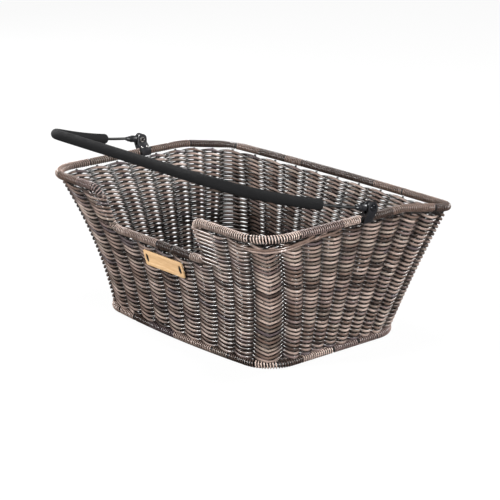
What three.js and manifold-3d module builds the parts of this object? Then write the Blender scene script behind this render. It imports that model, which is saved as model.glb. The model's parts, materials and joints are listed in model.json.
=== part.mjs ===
// Woven bicycle basket for a rear carrier, with a recess for the saddle and a swinging carrying handle.
// Millimetres, +Z up, +X to the right, -Y towards the saddle. The basket stands on Z = 0.

import * as THREE from 'three';
import * as BufferGeometryUtils from 'three/addons/utils/BufferGeometryUtils.js';
import Module from 'manifold-3d';

const wasm = await Module();
wasm.setup();

// Driving dimensions of the frame and the weave

const CLEARANCE = 0.3;
const ROD_D = 7.5;
const RING_D = 10.7;
const RIM_WIDTH = 460;
const RIM_FRONT = 172.2;
const RIM_REAR = 162.2;
const RIM_HEIGHT = 188;
const RIM_DROP = 17;
const RIM_BEND_Y = 67.6;
const RIM_BEND_SOFT = 24;
const RIM_FRONT_RADIUS = 42.6;
const RIM_REAR_RADIUS = 27;
const RIM_REAR_BOW = 4;
const BASE_WIDTH = 355;
const BASE_DEPTH = 249.6;
const BASE_RADIUS = 42.2;
const BASE_FRONT_BOW = 6.2;
const FRONT_CONCAVITY_RATIO = 0.7;
const SIDE_CONCAVITY_RATIO = 0.22;
const WALL_THICKNESS = 9.2;
const WALL_THINNEST = 3.4;
const WALL_SET_IN = 1.3;
const STAKE_D = 3.2;
const RIM_GAP = 4;

// Spans between stakes: beside the recess, below it, along each side and across the rear

const SHOULDER_COUNT = 2;
const BELOW_RECESS_COUNT = 6;
const SIDE_COUNT = 9;
const REAR_COUNT = 10;

// Saddle recess in the front wall

const RECESS_WIDTH = 200;
const RECESS_CENTRE_X = -5.4;
const RECESS_DEPTH = 58.5;
const RECESS_TOP_RADIUS = 13;
const RECESS_BOTTOM_RADIUS = 16;
const RECESS_STAKE_LEFT = 13.5;
const RECESS_STAKE_RIGHT = 25.5;

// Floor

const FLOOR_THICKNESS = 8.6;
const FLOOR_THINNEST = 2.8;
const FLOOR_ROD_COUNT = 9;

// Hinges: a two-part clamp on the rim's rod, with the pivot a little outboard of the rim

const HINGE_Y = -3.6;
const PIVOT_RISE = 16;
const PIVOT_OFFSET = 9;
const CLAMP_WIDTH = 16;
const CLAMP_DEPTH = 10.8;
const CLAMP_DROP = 5.6;
const CLAMP_CHAMFER = 1.5;
const SPLIT_RISE = 5.5;
const EAR_INNER = 1.9;
const EAR_OUTER = 3;
const SHOULDER_INNER = 11.4;
const SHOULDER_OUTER = 12;
const WAIST = 2;
const PIVOT_D = 4.4;
const PIVOT_HEAD_D = 7.4;
const PIVOT_HEAD_HEIGHT = 1.4;
const WELL_D = 10;
const WELL_DEPTH = 1.8;
const EYELET_D = 7.8;
const EYELET_SLEEVE = 0.7;
const EYELET_FLANGE = 0.8;

// Handle: its reach is from the pivots to the crossbar, and the crown rises out of the arms' plane

const HANDLE_TILT_DEG = 10;
const HANDLE_REACH = 202;
const HANDLE_RISE = 16.8;
const HANDLE_LEAN_DEG = 16;
const HANDLE_CORNER_RADIUS = 60;
const HANDLE_BEND_RADIUS = 30;
const HANDLE_BEND_START = 30;
const WIRE_D = 3.8;
const GRIP_D = 14;
const GRIP_START = 72;
const LUG_THICKNESS = 4.2;
const LUG_D = 14;
const BARREL_START = 9.8;
const BARREL_END = 26;
const BARREL_STEP = 18.5;
const BARREL_D = 9.8;
const BARREL_WAIST_D = 7.9;
const BARREL_TIP_D = 6.4;
const BARREL_TIP_LENGTH = 3.4;
const BARREL_CHAMFER = 0.6;
const NECK_HEIGHT = 7.5;
const SOCKET_DEPTH = 10;

// Tag on the front wall, below the recess

const TAG_WIDTH = 80.5;
const TAG_HEIGHT = 22.3;
const TAG_THICKNESS = 2;
const TAG_RADIUS = 1.5;
const TAG_CENTRE_X = 2.9;
const TAG_DROP = 24.3;
const TAG_STAND_OFF = 0.9;
const TAG_SLOT_SPACING = 68;
const TAG_SLOT_WIDTH = 5.4;
const TAG_SLOT_HEIGHT = 13.5;
const TIE_CLEARANCE = 0.4;
const TIE_THICKNESS = 1.4;

// Faces used round a section and round a corner

const ROD_SIDES = 8;
const RING_SIDES = 10;
const STAKE_SIDES = 6;
const ROUND_SIDES = 16;
const GRIP_SIDES = 12;
const SLOT_SIDES = 8;
const ARC_STEPS = 12;
const CORNER_STEPS = 5;
const FRONT_STEPS = 8;
const REAR_STEPS = 4;
const WALL_LEVELS = 4;
const BEND_STEPS = 5;
const RECESS_BEND_STEPS = 4;
const GRIP_END_STEPS = 2;
const LEAST_COLUMN = 5;
const ARM_STEP = 32;

const COLOURS = {
  weave: 0x5d4c44,
  rod: 0x1c1b1b,
  stake: 0x2b2523,
  plastic: 0x1b1c20,
  foam: 0x303337,
  steel: 0xb8b8b8,
  tag: 0xd2aa72,
};

const finishes = {
  weave: { color: COLOURS.weave, roughness: 0.55, metalness: 0 },
  rod: { color: COLOURS.rod, roughness: 0.45, metalness: 0.3 },
  stake: { color: COLOURS.stake, roughness: 0.5, metalness: 0 },
  plastic: { color: COLOURS.plastic, roughness: 0.4, metalness: 0 },
  foam: { color: COLOURS.foam, roughness: 0.9, metalness: 0 },
  steel: { color: COLOURS.steel, roughness: 0.3, metalness: 1 },
  tag: { color: COLOURS.tag, roughness: 0.7, metalness: 0 },
};

// Sizes that follow from the driving dimensions

const ringRadius = RING_D / 2;
const ringFlat = ringRadius * Math.cos(Math.PI / RING_SIDES);
const rodRadius = ROD_D / 2;
const baseZ = ringFlat;
const rimZ = baseZ + RIM_HEIGHT;
const rimHalfWidth = RIM_WIDTH / 2 - ringRadius;
const baseHalfWidth = BASE_WIDTH / 2 - ringRadius;
const baseHalfDepth = BASE_DEPTH / 2 - ringRadius;
const recessBottomZ = rimZ - RECESS_DEPTH;
const pivotZ = rimZ + PIVOT_RISE;

const mix = (a, b, t) => a + (b - a) * t;
const clamp01 = (t) => Math.min(1, Math.max(0, t));
const radians = (degrees) => degrees * Math.PI / 180;

// Solids and boolean cuts

function toSolid(geometry) {
  let bare = geometry.clone();
  bare.deleteAttribute('normal');
  bare.deleteAttribute('uv');
  bare = BufferGeometryUtils.mergeVertices(bare, 1e-4);
  const vertProperties = new Float32Array(bare.attributes.position.array);
  const triVerts = new Uint32Array(bare.index.array);
  return new wasm.Manifold(new wasm.Mesh({ numProp: 3, vertProperties, triVerts }));
}

function toGeometry(solid) {
  const mesh = solid.getMesh();
  const geometry = new THREE.BufferGeometry();
  geometry.setAttribute('position', new THREE.BufferAttribute(new Float32Array(mesh.vertProperties), 3));
  geometry.setIndex(new THREE.BufferAttribute(new Uint32Array(mesh.triVerts), 1));
  return geometry;
}

function cut(geometry, cutters) {
  let solid = toSolid(geometry);
  for (const cutter of cutters) {
    solid = solid.subtract(toSolid(cutter));
  }
  return toGeometry(solid);
}

function join(geometries) {
  let solid = toSolid(geometries[0]);
  for (const geometry of geometries.slice(1)) {
    solid = solid.add(toSolid(geometry));
  }
  return toGeometry(solid);
}

function indexed(positions, triangles) {
  const geometry = new THREE.BufferGeometry();
  geometry.setAttribute('position', new THREE.Float32BufferAttribute(positions, 3));
  geometry.setIndex(triangles);
  return geometry;
}

function mirrorX(geometry) {
  const source = geometry.index ? geometry : BufferGeometryUtils.mergeVertices(geometry);
  const position = source.attributes.position;
  const positions = [];
  for (let i = 0; i < position.count; i += 1) {
    positions.push(-position.getX(i), position.getY(i), position.getZ(i));
  }
  const index = source.index.array;
  const triangles = [];
  for (let i = 0; i < index.length; i += 3) {
    triangles.push(index[i], index[i + 2], index[i + 1]);
  }
  return indexed(positions, triangles);
}

// A regular section whose lowest face is flat
function polygon(radius, sides) {
  const points = [];
  const start = -Math.PI / 2 + Math.PI / sides;
  for (let k = 0; k < sides; k += 1) {
    const angle = start + 2 * Math.PI * k / sides;
    points.push([radius * Math.cos(angle), radius * Math.sin(angle)]);
  }
  return points;
}

// The radius whose flat faces leave the clearance round an inner section of the same number of sides
const boreRadius = (radius, sides) => radius + CLEARANCE / Math.cos(Math.PI / sides);

// Stations of a sweep: a point and the direction that the section calls outward

function tangents(stations, closed) {
  const last = stations.length - 1;
  return stations.map((station, i) => {
    const before = stations[i > 0 ? i - 1 : (closed ? last : 0)].p;
    const after = stations[i < last ? i + 1 : (closed ? 0 : last)].p;
    const back = station.p.clone().sub(before);
    const ahead = after.clone().sub(station.p);
    if (back.length() > 0) back.normalize();
    if (ahead.length() > 0) ahead.normalize();
    return back.add(ahead).normalize();
  });
}

function sectionRing(station, tangent, section) {
  const outward = station.out.clone().addScaledVector(tangent, -station.out.dot(tangent)).normalize();
  const upward = outward.clone().cross(tangent);
  return section.map(([n, b]) => station.p.clone().addScaledVector(outward, n).addScaledVector(upward, b));
}

function skin(rings, closed, inward, positions, triangles) {
  const base = positions.length / 3;
  const sides = rings[0].length;
  for (const ring of rings) {
    for (const point of ring) {
      positions.push(point.x, point.y, point.z);
    }
  }
  const runs = closed ? rings.length : rings.length - 1;
  for (let i = 0; i < runs; i += 1) {
    const next = (i + 1) % rings.length;
    for (let j = 0; j < sides; j += 1) {
      const side = (j + 1) % sides;
      const a = base + i * sides + j;
      const b = base + i * sides + side;
      const c = base + next * sides + side;
      const d = base + next * sides + j;
      if (inward) {
        triangles.push(a, c, d, a, b, c);
      } else {
        triangles.push(a, d, c, a, c, b);
      }
    }
  }
  return base;
}

function sweep(stations, section, closed) {
  const along = tangents(stations, closed);
  const rings = stations.map((station, i) => sectionRing(station, along[i], section));
  const positions = [];
  const triangles = [];
  skin(rings, closed, false, positions, triangles);
  if (!closed) {
    const end = (rings.length - 1) * section.length;
    for (let j = 1; j < section.length - 1; j += 1) {
      triangles.push(0, j, j + 1);
      triangles.push(end, end + j + 1, end + j);
    }
  }
  return indexed(positions, triangles);
}

// An open-ended sleeve round a path
function sleeve(stations, outer, inner) {
  const along = tangents(stations, false);
  const positions = [];
  const triangles = [];
  const outerRings = stations.map((station, i) => sectionRing(station, along[i], outer));
  const innerRings = stations.map((station, i) => sectionRing(station, along[i], inner));
  const outerBase = skin(outerRings, false, false, positions, triangles);
  const innerBase = skin(innerRings, false, true, positions, triangles);
  const sides = outer.length;
  const end = (stations.length - 1) * sides;
  for (let j = 0; j < sides; j += 1) {
    const side = (j + 1) % sides;
    const [a, b] = [outerBase + j, outerBase + side];
    const [c, d] = [innerBase + side, innerBase + j];
    triangles.push(a, b, c, a, c, d);
    triangles.push(a + end, c + end, b + end, a + end, d + end, c + end);
  }
  return indexed(positions, triangles);
}

// A polyline with rounded corners in its own plane
function filletedPath(corners, radii, steps) {
  const points = [corners[0]];
  for (let i = 1; i < corners.length - 1; i += 1) {
    const corner = new THREE.Vector2(...corners[i]);
    const back = new THREE.Vector2(...corners[i - 1]).sub(corner).normalize();
    const ahead = new THREE.Vector2(...corners[i + 1]).sub(corner).normalize();
    const half = Math.acos(THREE.MathUtils.clamp(back.dot(ahead), -1, 1)) / 2;
    const reach = radii[i - 1] / Math.tan(half);
    const bisector = back.clone().add(ahead).normalize();
    const centre = corner.clone().addScaledVector(bisector, radii[i - 1] / Math.sin(half));
    const from = corner.clone().addScaledVector(back, reach).sub(centre);
    const to = corner.clone().addScaledVector(ahead, reach).sub(centre);
    const turn = Math.PI - 2 * half;
    for (let k = 0; k <= steps; k += 1) {
      const u = k / steps;
      const weightA = Math.sin((1 - u) * turn) / Math.sin(turn);
      const weightB = Math.sin(u * turn) / Math.sin(turn);
      points.push([
        centre.x + from.x * weightA + to.x * weightB,
        centre.y + from.y * weightA + to.y * weightB,
      ]);
    }
  }
  points.push(corners[corners.length - 1]);
  return points;
}

// The wall surface: v runs from the base ring's centre line at 0 to the rim's at 1

const flare = (v, concavity) => v - concavity * (v - v * v);

function outline(v) {
  return {
    halfWidth: mix(baseHalfWidth, rimHalfWidth, flare(v, SIDE_CONCAVITY_RATIO)),
    front: mix(baseHalfDepth, RIM_FRONT, flare(v, FRONT_CONCAVITY_RATIO)),
    rear: mix(baseHalfDepth, RIM_REAR, v),
    frontRadius: mix(BASE_RADIUS, RIM_FRONT_RADIUS, v),
    rearRadius: mix(BASE_RADIUS, RIM_REAR_RADIUS, v),
    frontBow: mix(BASE_FRONT_BOW, 0, v),
    rearBow: mix(0, RIM_REAR_BOW, v),
  };
}

// The wall's outer and inner faces lie half its thickness to each side of its middle
const [OUTER_FACE, INNER_FACE] = [1, -1];

// Sides run anticlockwise from above: front, right, rear and left, each with the corner that follows it
const SIDES = [0, 1, 2, 3, 4, 5, 6, 7];
const [FRONT, FRONT_RIGHT, RIGHT, REAR_RIGHT, REAR, REAR_LEFT, LEFT] = SIDES;

function planPoint(side, t, v, offset) {
  const o = outline(v);
  const frontRun = o.halfWidth - o.frontRadius;
  const rearRun = o.halfWidth - o.rearRadius;
  const nearY = -(o.front - o.frontRadius);
  const farY = o.rear - o.rearRadius;
  const s = 2 * t - 1;
  const arc = (x, y, radius, start) => {
    const angle = start + t * Math.PI / 2;
    return [x + (radius + offset) * Math.cos(angle), y + (radius + offset) * Math.sin(angle)];
  };
  switch (side) {
    case FRONT: return [s * frontRun, -(o.front + offset) - o.frontBow * (1 - s * s)];
    case FRONT_RIGHT: return arc(frontRun, nearY, o.frontRadius, -Math.PI / 2);
    case RIGHT: return [o.halfWidth + offset, mix(nearY, farY, t)];
    case REAR_RIGHT: return arc(rearRun, farY, o.rearRadius, 0);
    case REAR: return [-s * rearRun, o.rear + offset + o.rearBow * (1 - s * s)];
    case REAR_LEFT: return arc(-rearRun, farY, o.rearRadius, Math.PI / 2);
    case LEFT: return [-o.halfWidth - offset, mix(farY, nearY, t)];
    default: return arc(-frontRun, nearY, o.frontRadius, Math.PI);
  }
}

function outwardOf(side, t) {
  const turn = side % 2 === 0 ? 0 : t;
  const angle = -Math.PI / 2 + (Math.floor(side / 2) + turn) * Math.PI / 2;
  return new THREE.Vector3(Math.cos(angle), Math.sin(angle), 0);
}

// The rim is level in front and falls behind the hinges towards the rear
function rimHeightAt(side, t) {
  const y = planPoint(side, t, 1, 0)[1];
  const run = RIM_REAR - RIM_BEND_Y;
  const past = Math.min(RIM_REAR, y) - RIM_BEND_Y;
  const softened = past <= -RIM_BEND_SOFT / 2 ? 0
    : past >= RIM_BEND_SOFT / 2 ? past
      : (past + RIM_BEND_SOFT / 2) ** 2 / (2 * RIM_BEND_SOFT);
  return rimZ - RIM_DROP * clamp01(softened / run);
}

function wallPoint(side, t, z, offset) {
  const v = (z - baseZ) / (rimHeightAt(side, t) - baseZ);
  const [x, y] = planPoint(side, t, v, offset);
  return new THREE.Vector3(x, y, z);
}

// Places along each side at which a solid has its sections: evenly spaced on what curves, and where the
// straight sides' rim bends down
function placesAlong(side) {
  const even = (steps) => Array.from({ length: steps }, (_, k) => k / steps);
  if (side === FRONT) return even(FRONT_STEPS);
  if (side === REAR) return even(REAR_STEPS);
  if (side !== RIGHT && side !== LEFT) return even(CORNER_STEPS);
  const [near, far] = [planPoint(RIGHT, 0, 1, 0)[1], planPoint(RIGHT, 1, 1, 0)[1]];
  const bend = (RIM_BEND_Y - near) / (far - near);
  const soft = RIM_BEND_SOFT / 2 / (far - near);
  const rightward = [0, bend - soft, bend, bend + soft];
  return side === RIGHT ? rightward : [0, 1 - bend - soft, 1 - bend, 1 - bend + soft];
}

function columns() {
  return SIDES.flatMap((side) => placesAlong(side).map((t) => ({ side, t })));
}

// The rim's centre line, down and up again round the saddle recess

const recessLeft = RECESS_CENTRE_X - RECESS_WIDTH / 2;
const recessRight = RECESS_CENTRE_X + RECESS_WIDTH / 2;

function recessPath(grow, startX, endX) {
  const top = rimZ - grow;
  const bottom = recessBottomZ - grow;
  const corners = [
    [startX, top],
    [recessLeft - grow, top],
    [recessLeft - grow, bottom],
    [recessRight + grow, bottom],
    [recessRight + grow, top],
    [endX, top],
  ];
  const upper = RECESS_TOP_RADIUS - grow;
  const lower = RECESS_BOTTOM_RADIUS + grow;
  return filletedPath(corners, [upper, lower, lower, upper], RECESS_BEND_STEPS);
}

function rimStations() {
  const stations = [];
  const run = rimHalfWidth - RIM_FRONT_RADIUS;
  for (const [x, z] of recessPath(0, -run, run)) {
    const v = (z - baseZ) / (rimZ - baseZ);
    const o = outline(v);
    const s = x / (o.halfWidth - o.frontRadius);
    const y = -o.front - o.frontBow * (1 - s * s);
    stations.push({ p: new THREE.Vector3(x, y, z), out: outwardOf(FRONT, 0) });
  }
  for (const { side, t } of columns()) {
    if (side === FRONT || (side === FRONT_RIGHT && t === 0)) continue;
    const [x, y] = planPoint(side, t, 1, 0);
    stations.push({ p: new THREE.Vector3(x, y, rimHeightAt(side, t)), out: outwardOf(side, t) });
  }
  return stations;
}

// The base ring is straight but for its front and corners
function basePlaces() {
  return columns().filter(({ side, t }) => t === 0 || (side !== RIGHT && side !== REAR && side !== LEFT));
}

function baseStations() {
  return basePlaces().map(({ side, t }) => {
    const [x, y] = planPoint(side, t, 0, 0);
    return { p: new THREE.Vector3(x, y, baseZ), out: outwardOf(side, t) };
  });
}

// A stretch of a closed path between two distances along it
function stretch(stations, from, to) {
  const count = stations.length;
  const result = [];
  let travelled = 0;
  const at = (i, u) => {
    const a = stations[i % count];
    const b = stations[(i + 1) % count];
    return { p: a.p.clone().lerp(b.p, u), out: a.out.clone().lerp(b.out, u).normalize() };
  };
  for (let i = 0; i < 2 * count && travelled < to; i += 1) {
    const length = stations[i % count].p.distanceTo(stations[(i + 1) % count].p);
    if (travelled + length > from) {
      if (result.length === 0) result.push(at(i, (from - travelled) / length));
      if (travelled + length < to) result.push(at(i, 1));
      else result.push(at(i, (to - travelled) / length));
    }
    travelled += length;
  }
  return result;
}

// Distance along a closed path to the place nearest to a point
function distanceTo(stations, point) {
  const count = stations.length;
  let travelled = 0;
  let best = { gap: Infinity, at: 0 };
  for (let i = 0; i < count; i += 1) {
    const line = new THREE.Line3(stations[i].p, stations[(i + 1) % count].p);
    const u = line.closestPointToPointParameter(point, true);
    const gap = line.at(u, new THREE.Vector3()).distanceTo(point);
    if (gap < best.gap) best = { gap, at: travelled + u * line.distance() };
    travelled += line.distance();
  }
  return best.at;
}

function pathLength(stations) {
  return stations.reduce((sum, s, i) => sum + s.p.distanceTo(stations[(i + 1) % stations.length].p), 0);
}

// Binding strands wound round a rod, from one distance along it to another
function binding(stations, start, end) {
  const outer = polygon(ringRadius, RING_SIDES);
  const inner = polygon(boreRadius(rodRadius, RING_SIDES), RING_SIDES);
  const turns = end < start ? pathLength(stations) : 0;
  return sleeve(stretch(stations, start, end + turns), outer, inner);
}

const rim = rimStations();
const base = baseStations();

// The rim's binding leaves the rod bare under each hinge clamp
function rimBinding(front) {
  const half = CLAMP_WIDTH / 2 + CLEARANCE;
  const y = HINGE_Y + (front ? -half : half);
  const left = distanceTo(rim, new THREE.Vector3(-rimHalfWidth, y, rimZ));
  const right = distanceTo(rim, new THREE.Vector3(rimHalfWidth, y, rimZ));
  return front ? binding(rim, left, right) : binding(rim, right, left);
}

function baseBinding() {
  return binding(base, CLEARANCE, pathLength(base) - CLEARANCE);
}

// Stakes stand in the weave from the base ring to the rim: one in each corner and the rest between them.
// In front they keep their distances from the sides of the recess.

const stakeRuns = [
  { name: 'front', corner: 'front_left', counts: [SHOULDER_COUNT, BELOW_RECESS_COUNT, SHOULDER_COUNT] },
  { name: 'right', corner: 'front_right', counts: [SIDE_COUNT] },
  { name: 'rear', corner: 'rear_right', counts: [REAR_COUNT] },
  { name: 'left', corner: 'rear_left', counts: [SIDE_COUNT] },
];

// Each run goes from the middle of one corner, along a side, to the middle of the next
function runLengths(i) {
  const o = outline(1);
  const frontArc = o.frontRadius * Math.PI / 4;
  const rearArc = o.rearRadius * Math.PI / 4;
  const frontRun = 2 * (o.halfWidth - o.frontRadius);
  const sideRun = o.front - o.frontRadius + o.rear - o.rearRadius;
  const rearRun = 2 * (o.halfWidth - o.rearRadius);
  return [
    [frontArc, frontRun, frontArc],
    [frontArc, sideRun, rearArc],
    [rearArc, rearRun, rearArc],
    [rearArc, sideRun, frontArc],
  ][i];
}

// How far along the front run the two stakes beside the recess stand
function besideRecess() {
  const [before, straight] = runLengths(0);
  const o = outline((recessBottomZ - baseZ) / (rimZ - baseZ));
  const half = o.halfWidth - o.frontRadius;
  const along = (x) => before + straight * (1 + x / half) / 2;
  return [along(recessLeft - RECESS_STAKE_LEFT), along(recessRight + RECESS_STAKE_RIGHT)];
}

// Distances of a run's stakes along it, both corners' included
function stakeDistances(i) {
  const end = runLengths(i).reduce((sum, length) => sum + length, 0);
  const stops = [0, ...(i === 0 ? besideRecess() : []), end];
  const distances = stakeRuns[i].counts.flatMap((count, j) => (
    Array.from({ length: count }, (_, k) => mix(stops[j], stops[j + 1], k / count))
  ));
  return [...distances, end];
}

function stakePlaces() {
  return stakeRuns.flatMap(({ name, corner }, i) => (
    stakeDistances(i).slice(0, -1).map((d, k) => (
      { name: k === 0 ? `stake_${corner}` : `stake_${name}_${k}`, ...placeAlong(i, d) }
    ))
  ));
}

function placeAlong(i, d) {
  const [before, straight, after] = runLengths(i);
  const side = 2 * i;
  const corner = (side + SIDES.length - 1) % SIDES.length;
  if (d < before) return { side: corner, t: 0.5 + 0.5 * d / before };
  if (d > before + straight) return { side: side + 1, t: 0.5 * (d - before - straight) / after };
  return { side, t: (d - before) / straight };
}

// The wall's columns: it is thick at each stake and thin halfway between two
function wallColumns() {
  return stakeRuns.flatMap((_, i) => {
    const [before, straight, after] = runLengths(i);
    const at = stakeDistances(i);
    const list = at.slice(0, -1).flatMap((d, k) => (
      [{ d, swell: 1 }, { d: (d + at[k + 1]) / 2, swell: 0 }]
    ));
    for (const d of [before / 2, before, before + straight, before + straight + after / 2]) {
      const next = at.findIndex((distance) => distance > d);
      const u = (d - at[next - 1]) / (at[next] - at[next - 1]);
      const free = Math.min(...list.map((column) => Math.abs(column.d - d)));
      if (free > LEAST_COLUMN) list.push({ d, swell: Math.abs(1 - 2 * u) });
    }
    list.sort((one, other) => one.d - other.d);
    return list.map(({ d, swell }) => ({ ...placeAlong(i, d), swell }));
  });
}

const wallBottom = baseZ + ringFlat + CLEARANCE;

function wallTop({ side, t }) {
  return rimHeightAt(side, t) - ringFlat - RIM_GAP;
}

function levelHeights(place) {
  const heights = [];
  for (let i = 0; i <= WALL_LEVELS; i += 1) {
    heights.push(mix(wallBottom, wallTop(place), i / WALL_LEVELS));
  }
  return heights;
}

function endsAtRecess({ side, t }) {
  const x = wallPoint(side, t, recessBottomZ, -WALL_SET_IN).x;
  return side === FRONT && x > recessLeft && x < recessRight;
}

// Heights at which a stake bends: the front's at each of the wall's levels, the gently curved sides' at
// every other one, and the straight rear's at none between its ends
function bendHeights(place) {
  const all = levelHeights(place);
  if (place.side === REAR) return [all[0], all[WALL_LEVELS]];
  const step = place.side === LEFT || place.side === RIGHT ? 2 : 1;
  return all.filter((_, level) => level % step === 0);
}

// Points up the wall's middle at one place
function stakeLine(place, bottom, top) {
  const heights = bendHeights(place);
  const at = (z) => wallPoint(place.side, place.t, z, -WALL_SET_IN);
  const onLine = (z) => {
    const above = heights.findIndex((h) => h > z);
    const i = above < 0 ? heights.length - 2 : Math.max(0, above - 1);
    return at(heights[i]).lerp(at(heights[i + 1]), (z - heights[i]) / (heights[i + 1] - heights[i]));
  };
  const inside = heights.slice(1, -1).filter((h) => h < top - CLEARANCE);
  return [onLine(bottom), ...inside.map(at), onLine(top)];
}

// A rod with level sections, so that its ends lie flat against the rings
function levelRod(points, radius, sides) {
  const positions = [];
  const triangles = [];
  const rings = points.map((point) => {
    const ring = [];
    for (let k = 0; k < sides; k += 1) {
      const angle = -2 * Math.PI * k / sides;
      const [dx, dy] = [radius * Math.cos(angle), radius * Math.sin(angle)];
      ring.push(new THREE.Vector3(point.x + dx, point.y + dy, point.z));
    }
    return ring;
  });
  skin(rings, false, false, positions, triangles);
  const end = (rings.length - 1) * sides;
  for (let j = 1; j < sides - 1; j += 1) {
    triangles.push(0, j, j + 1);
    triangles.push(end, end + j + 1, end + j);
  }
  return indexed(positions, triangles);
}

function stakeTop(place) {
  const ring = endsAtRecess(place) ? recessBottomZ : rimHeightAt(place.side, place.t);
  return ring - ringFlat - CLEARANCE;
}

function stake(place) {
  return levelRod(stakeLine(place, wallBottom, stakeTop(place)), STAKE_D / 2, STAKE_SIDES);
}

// The channel runs past both edges of the wall
function stakeChannel(place) {
  const top = endsAtRecess(place) ? recessBottomZ : wallTop(place) + STAKE_D;
  const line = stakeLine(place, wallBottom - STAKE_D, top);
  return levelRod(line, boreRadius(STAKE_D / 2, STAKE_SIDES), STAKE_SIDES);
}

// The woven wall: one closed skin with the flare, the rounded corners, the swelling at each stake, the
// recess and the stakes' channels

function wovenWall(places) {
  const around = wallColumns();
  const positions = [];
  const triangles = [];
  const rings = [];
  const ringAt = (level, face) => around.map((place) => {
    const z = levelHeights(place)[level];
    const half = mix(WALL_THINNEST, WALL_THICKNESS, place.swell) / 2;
    return wallPoint(place.side, place.t, z, face * half - WALL_SET_IN);
  });
  for (let level = 0; level <= WALL_LEVELS; level += 1) rings.push(ringAt(level, OUTER_FACE));
  for (let level = WALL_LEVELS; level >= 0; level -= 1) rings.push(ringAt(level, INNER_FACE));
  skin(rings, true, true, positions, triangles);
  const shell = toSolid(indexed(positions, triangles));
  const channels = wasm.Manifold.union(places.map((place) => toSolid(stakeChannel(place))));
  return toGeometry(shell.subtract(toSolid(recessCutter())).subtract(channels));
}

function recessCutter() {
  const grow = ringRadius + CLEARANCE;
  const path = recessPath(grow, recessLeft - RIM_FRONT_RADIUS, recessRight + RIM_FRONT_RADIUS);
  const above = rimZ + RING_D;
  const shape = new THREE.Shape();
  path.forEach(([x, z], i) => (i === 0 ? shape.moveTo(x, z) : shape.lineTo(x, z)));
  shape.lineTo(path[path.length - 1][0], above);
  shape.lineTo(path[0][0], above);
  shape.closePath();
  const geometry = new THREE.ExtrudeGeometry(shape, { depth: 2 * RIM_FRONT, bevelEnabled: false });
  geometry.rotateX(Math.PI / 2);
  return geometry;
}

// The woven floor lies inside the base ring. It is thick over each of its rods, which run from front to
// rear, and thin halfway between two.

function floorProfile() {
  const halves = 2 * (FLOOR_ROD_COUNT + 1);
  const upper = [];
  for (let k = 0; k <= halves; k += 1) {
    const thickness = k % 2 === 0 ? FLOOR_THICKNESS : FLOOR_THINNEST;
    upper.push([baseHalfWidth * (2 * k / halves - 1), thickness / 2]);
  }
  const lower = [...upper].reverse().map(([x, z]) => [x, -z]);
  return [...upper, ...lower].map(([x, z]) => new THREE.Vector2(x, z));
}

function wovenFloor() {
  const setIn = ringRadius + CLEARANCE;
  const inside = basePlaces().map(({ side, t }) => new THREE.Vector2(...planPoint(side, t, 0, -setIn)));
  const extruded = (points, depth) => (
    new THREE.ExtrudeGeometry(new THREE.Shape(points), { depth, bevelEnabled: false })
  );
  const slab = extruded(inside, FLOOR_THICKNESS);
  slab.translate(0, 0, -FLOOR_THICKNESS / 2);
  const ribs = extruded(floorProfile(), 2 * BASE_DEPTH);
  ribs.rotateX(Math.PI / 2);
  ribs.translate(0, BASE_DEPTH, 0);
  const floor = toGeometry(toSolid(slab).intersect(toSolid(ribs)));
  floor.translate(0, 0, baseZ);
  return floor;
}

// Hinge parts are drawn for the right side, with the rim's centre at the origin and +X outwards

function diskX(radius, from, to, sides) {
  const geometry = new THREE.CylinderGeometry(radius, radius, to - from, sides);
  geometry.rotateZ(Math.PI / 2);
  geometry.translate((from + to) / 2, 0, 0);
  return geometry;
}

function plateX(points, from, to) {
  const shape = new THREE.Shape(points.map(([y, z]) => new THREE.Vector2(y, z)));
  const geometry = new THREE.ExtrudeGeometry(shape, { depth: to - from, bevelEnabled: false });
  const basis = new THREE.Matrix4().makeBasis(
    new THREE.Vector3(0, 1, 0),
    new THREE.Vector3(0, 0, 1),
    new THREE.Vector3(1, 0, 0),
  );
  geometry.applyMatrix4(basis);
  geometry.translate(from, 0, 0);
  return geometry;
}

// The clamp seen from the side: a tab with a round top over the pivot
function clampOutline() {
  const half = CLAMP_WIDTH / 2;
  const points = [
    [-half, CLAMP_CHAMFER - CLAMP_DROP],
    [CLAMP_CHAMFER - half, -CLAMP_DROP],
    [half - CLAMP_CHAMFER, -CLAMP_DROP],
    [half, CLAMP_CHAMFER - CLAMP_DROP],
  ];
  for (let k = 0; k <= ARC_STEPS; k += 1) {
    const angle = Math.PI * k / ARC_STEPS;
    points.push([half * Math.cos(angle), PIVOT_RISE + half * Math.sin(angle)]);
  }
  return points;
}

const slotInner = PIVOT_OFFSET - LUG_THICKNESS / 2 - CLEARANCE;
const slotOuter = PIVOT_OFFSET + LUG_THICKNESS / 2 + CLEARANCE;
const slotBottom = PIVOT_RISE - LUG_D / 2 - CLEARANCE;
const innerFace = slotInner - EAR_INNER;
const outerFace = slotOuter + EAR_OUTER;
const clampTop = PIVOT_RISE + CLAMP_WIDTH;
const splitGap = CLEARANCE / 2;
const pivotRadius = PIVOT_D / 2;
const pivotBore = pivotRadius + CLEARANCE;
const eyeletSleeve = pivotBore + EYELET_SLEEVE;

// The halves in section across the rim: they close round the rod and hold the lug's slot between them
function innerSection() {
  return [
    [-CLAMP_DEPTH / 2, -CLAMP_DROP],
    [-splitGap, -CLAMP_DROP],
    [-splitGap, SPLIT_RISE + splitGap],
    [slotInner, SPLIT_RISE + splitGap],
    [slotInner, clampTop],
    [innerFace, clampTop],
    [innerFace, SHOULDER_INNER],
    [-CLAMP_DEPTH / 2, WAIST],
  ];
}

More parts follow.
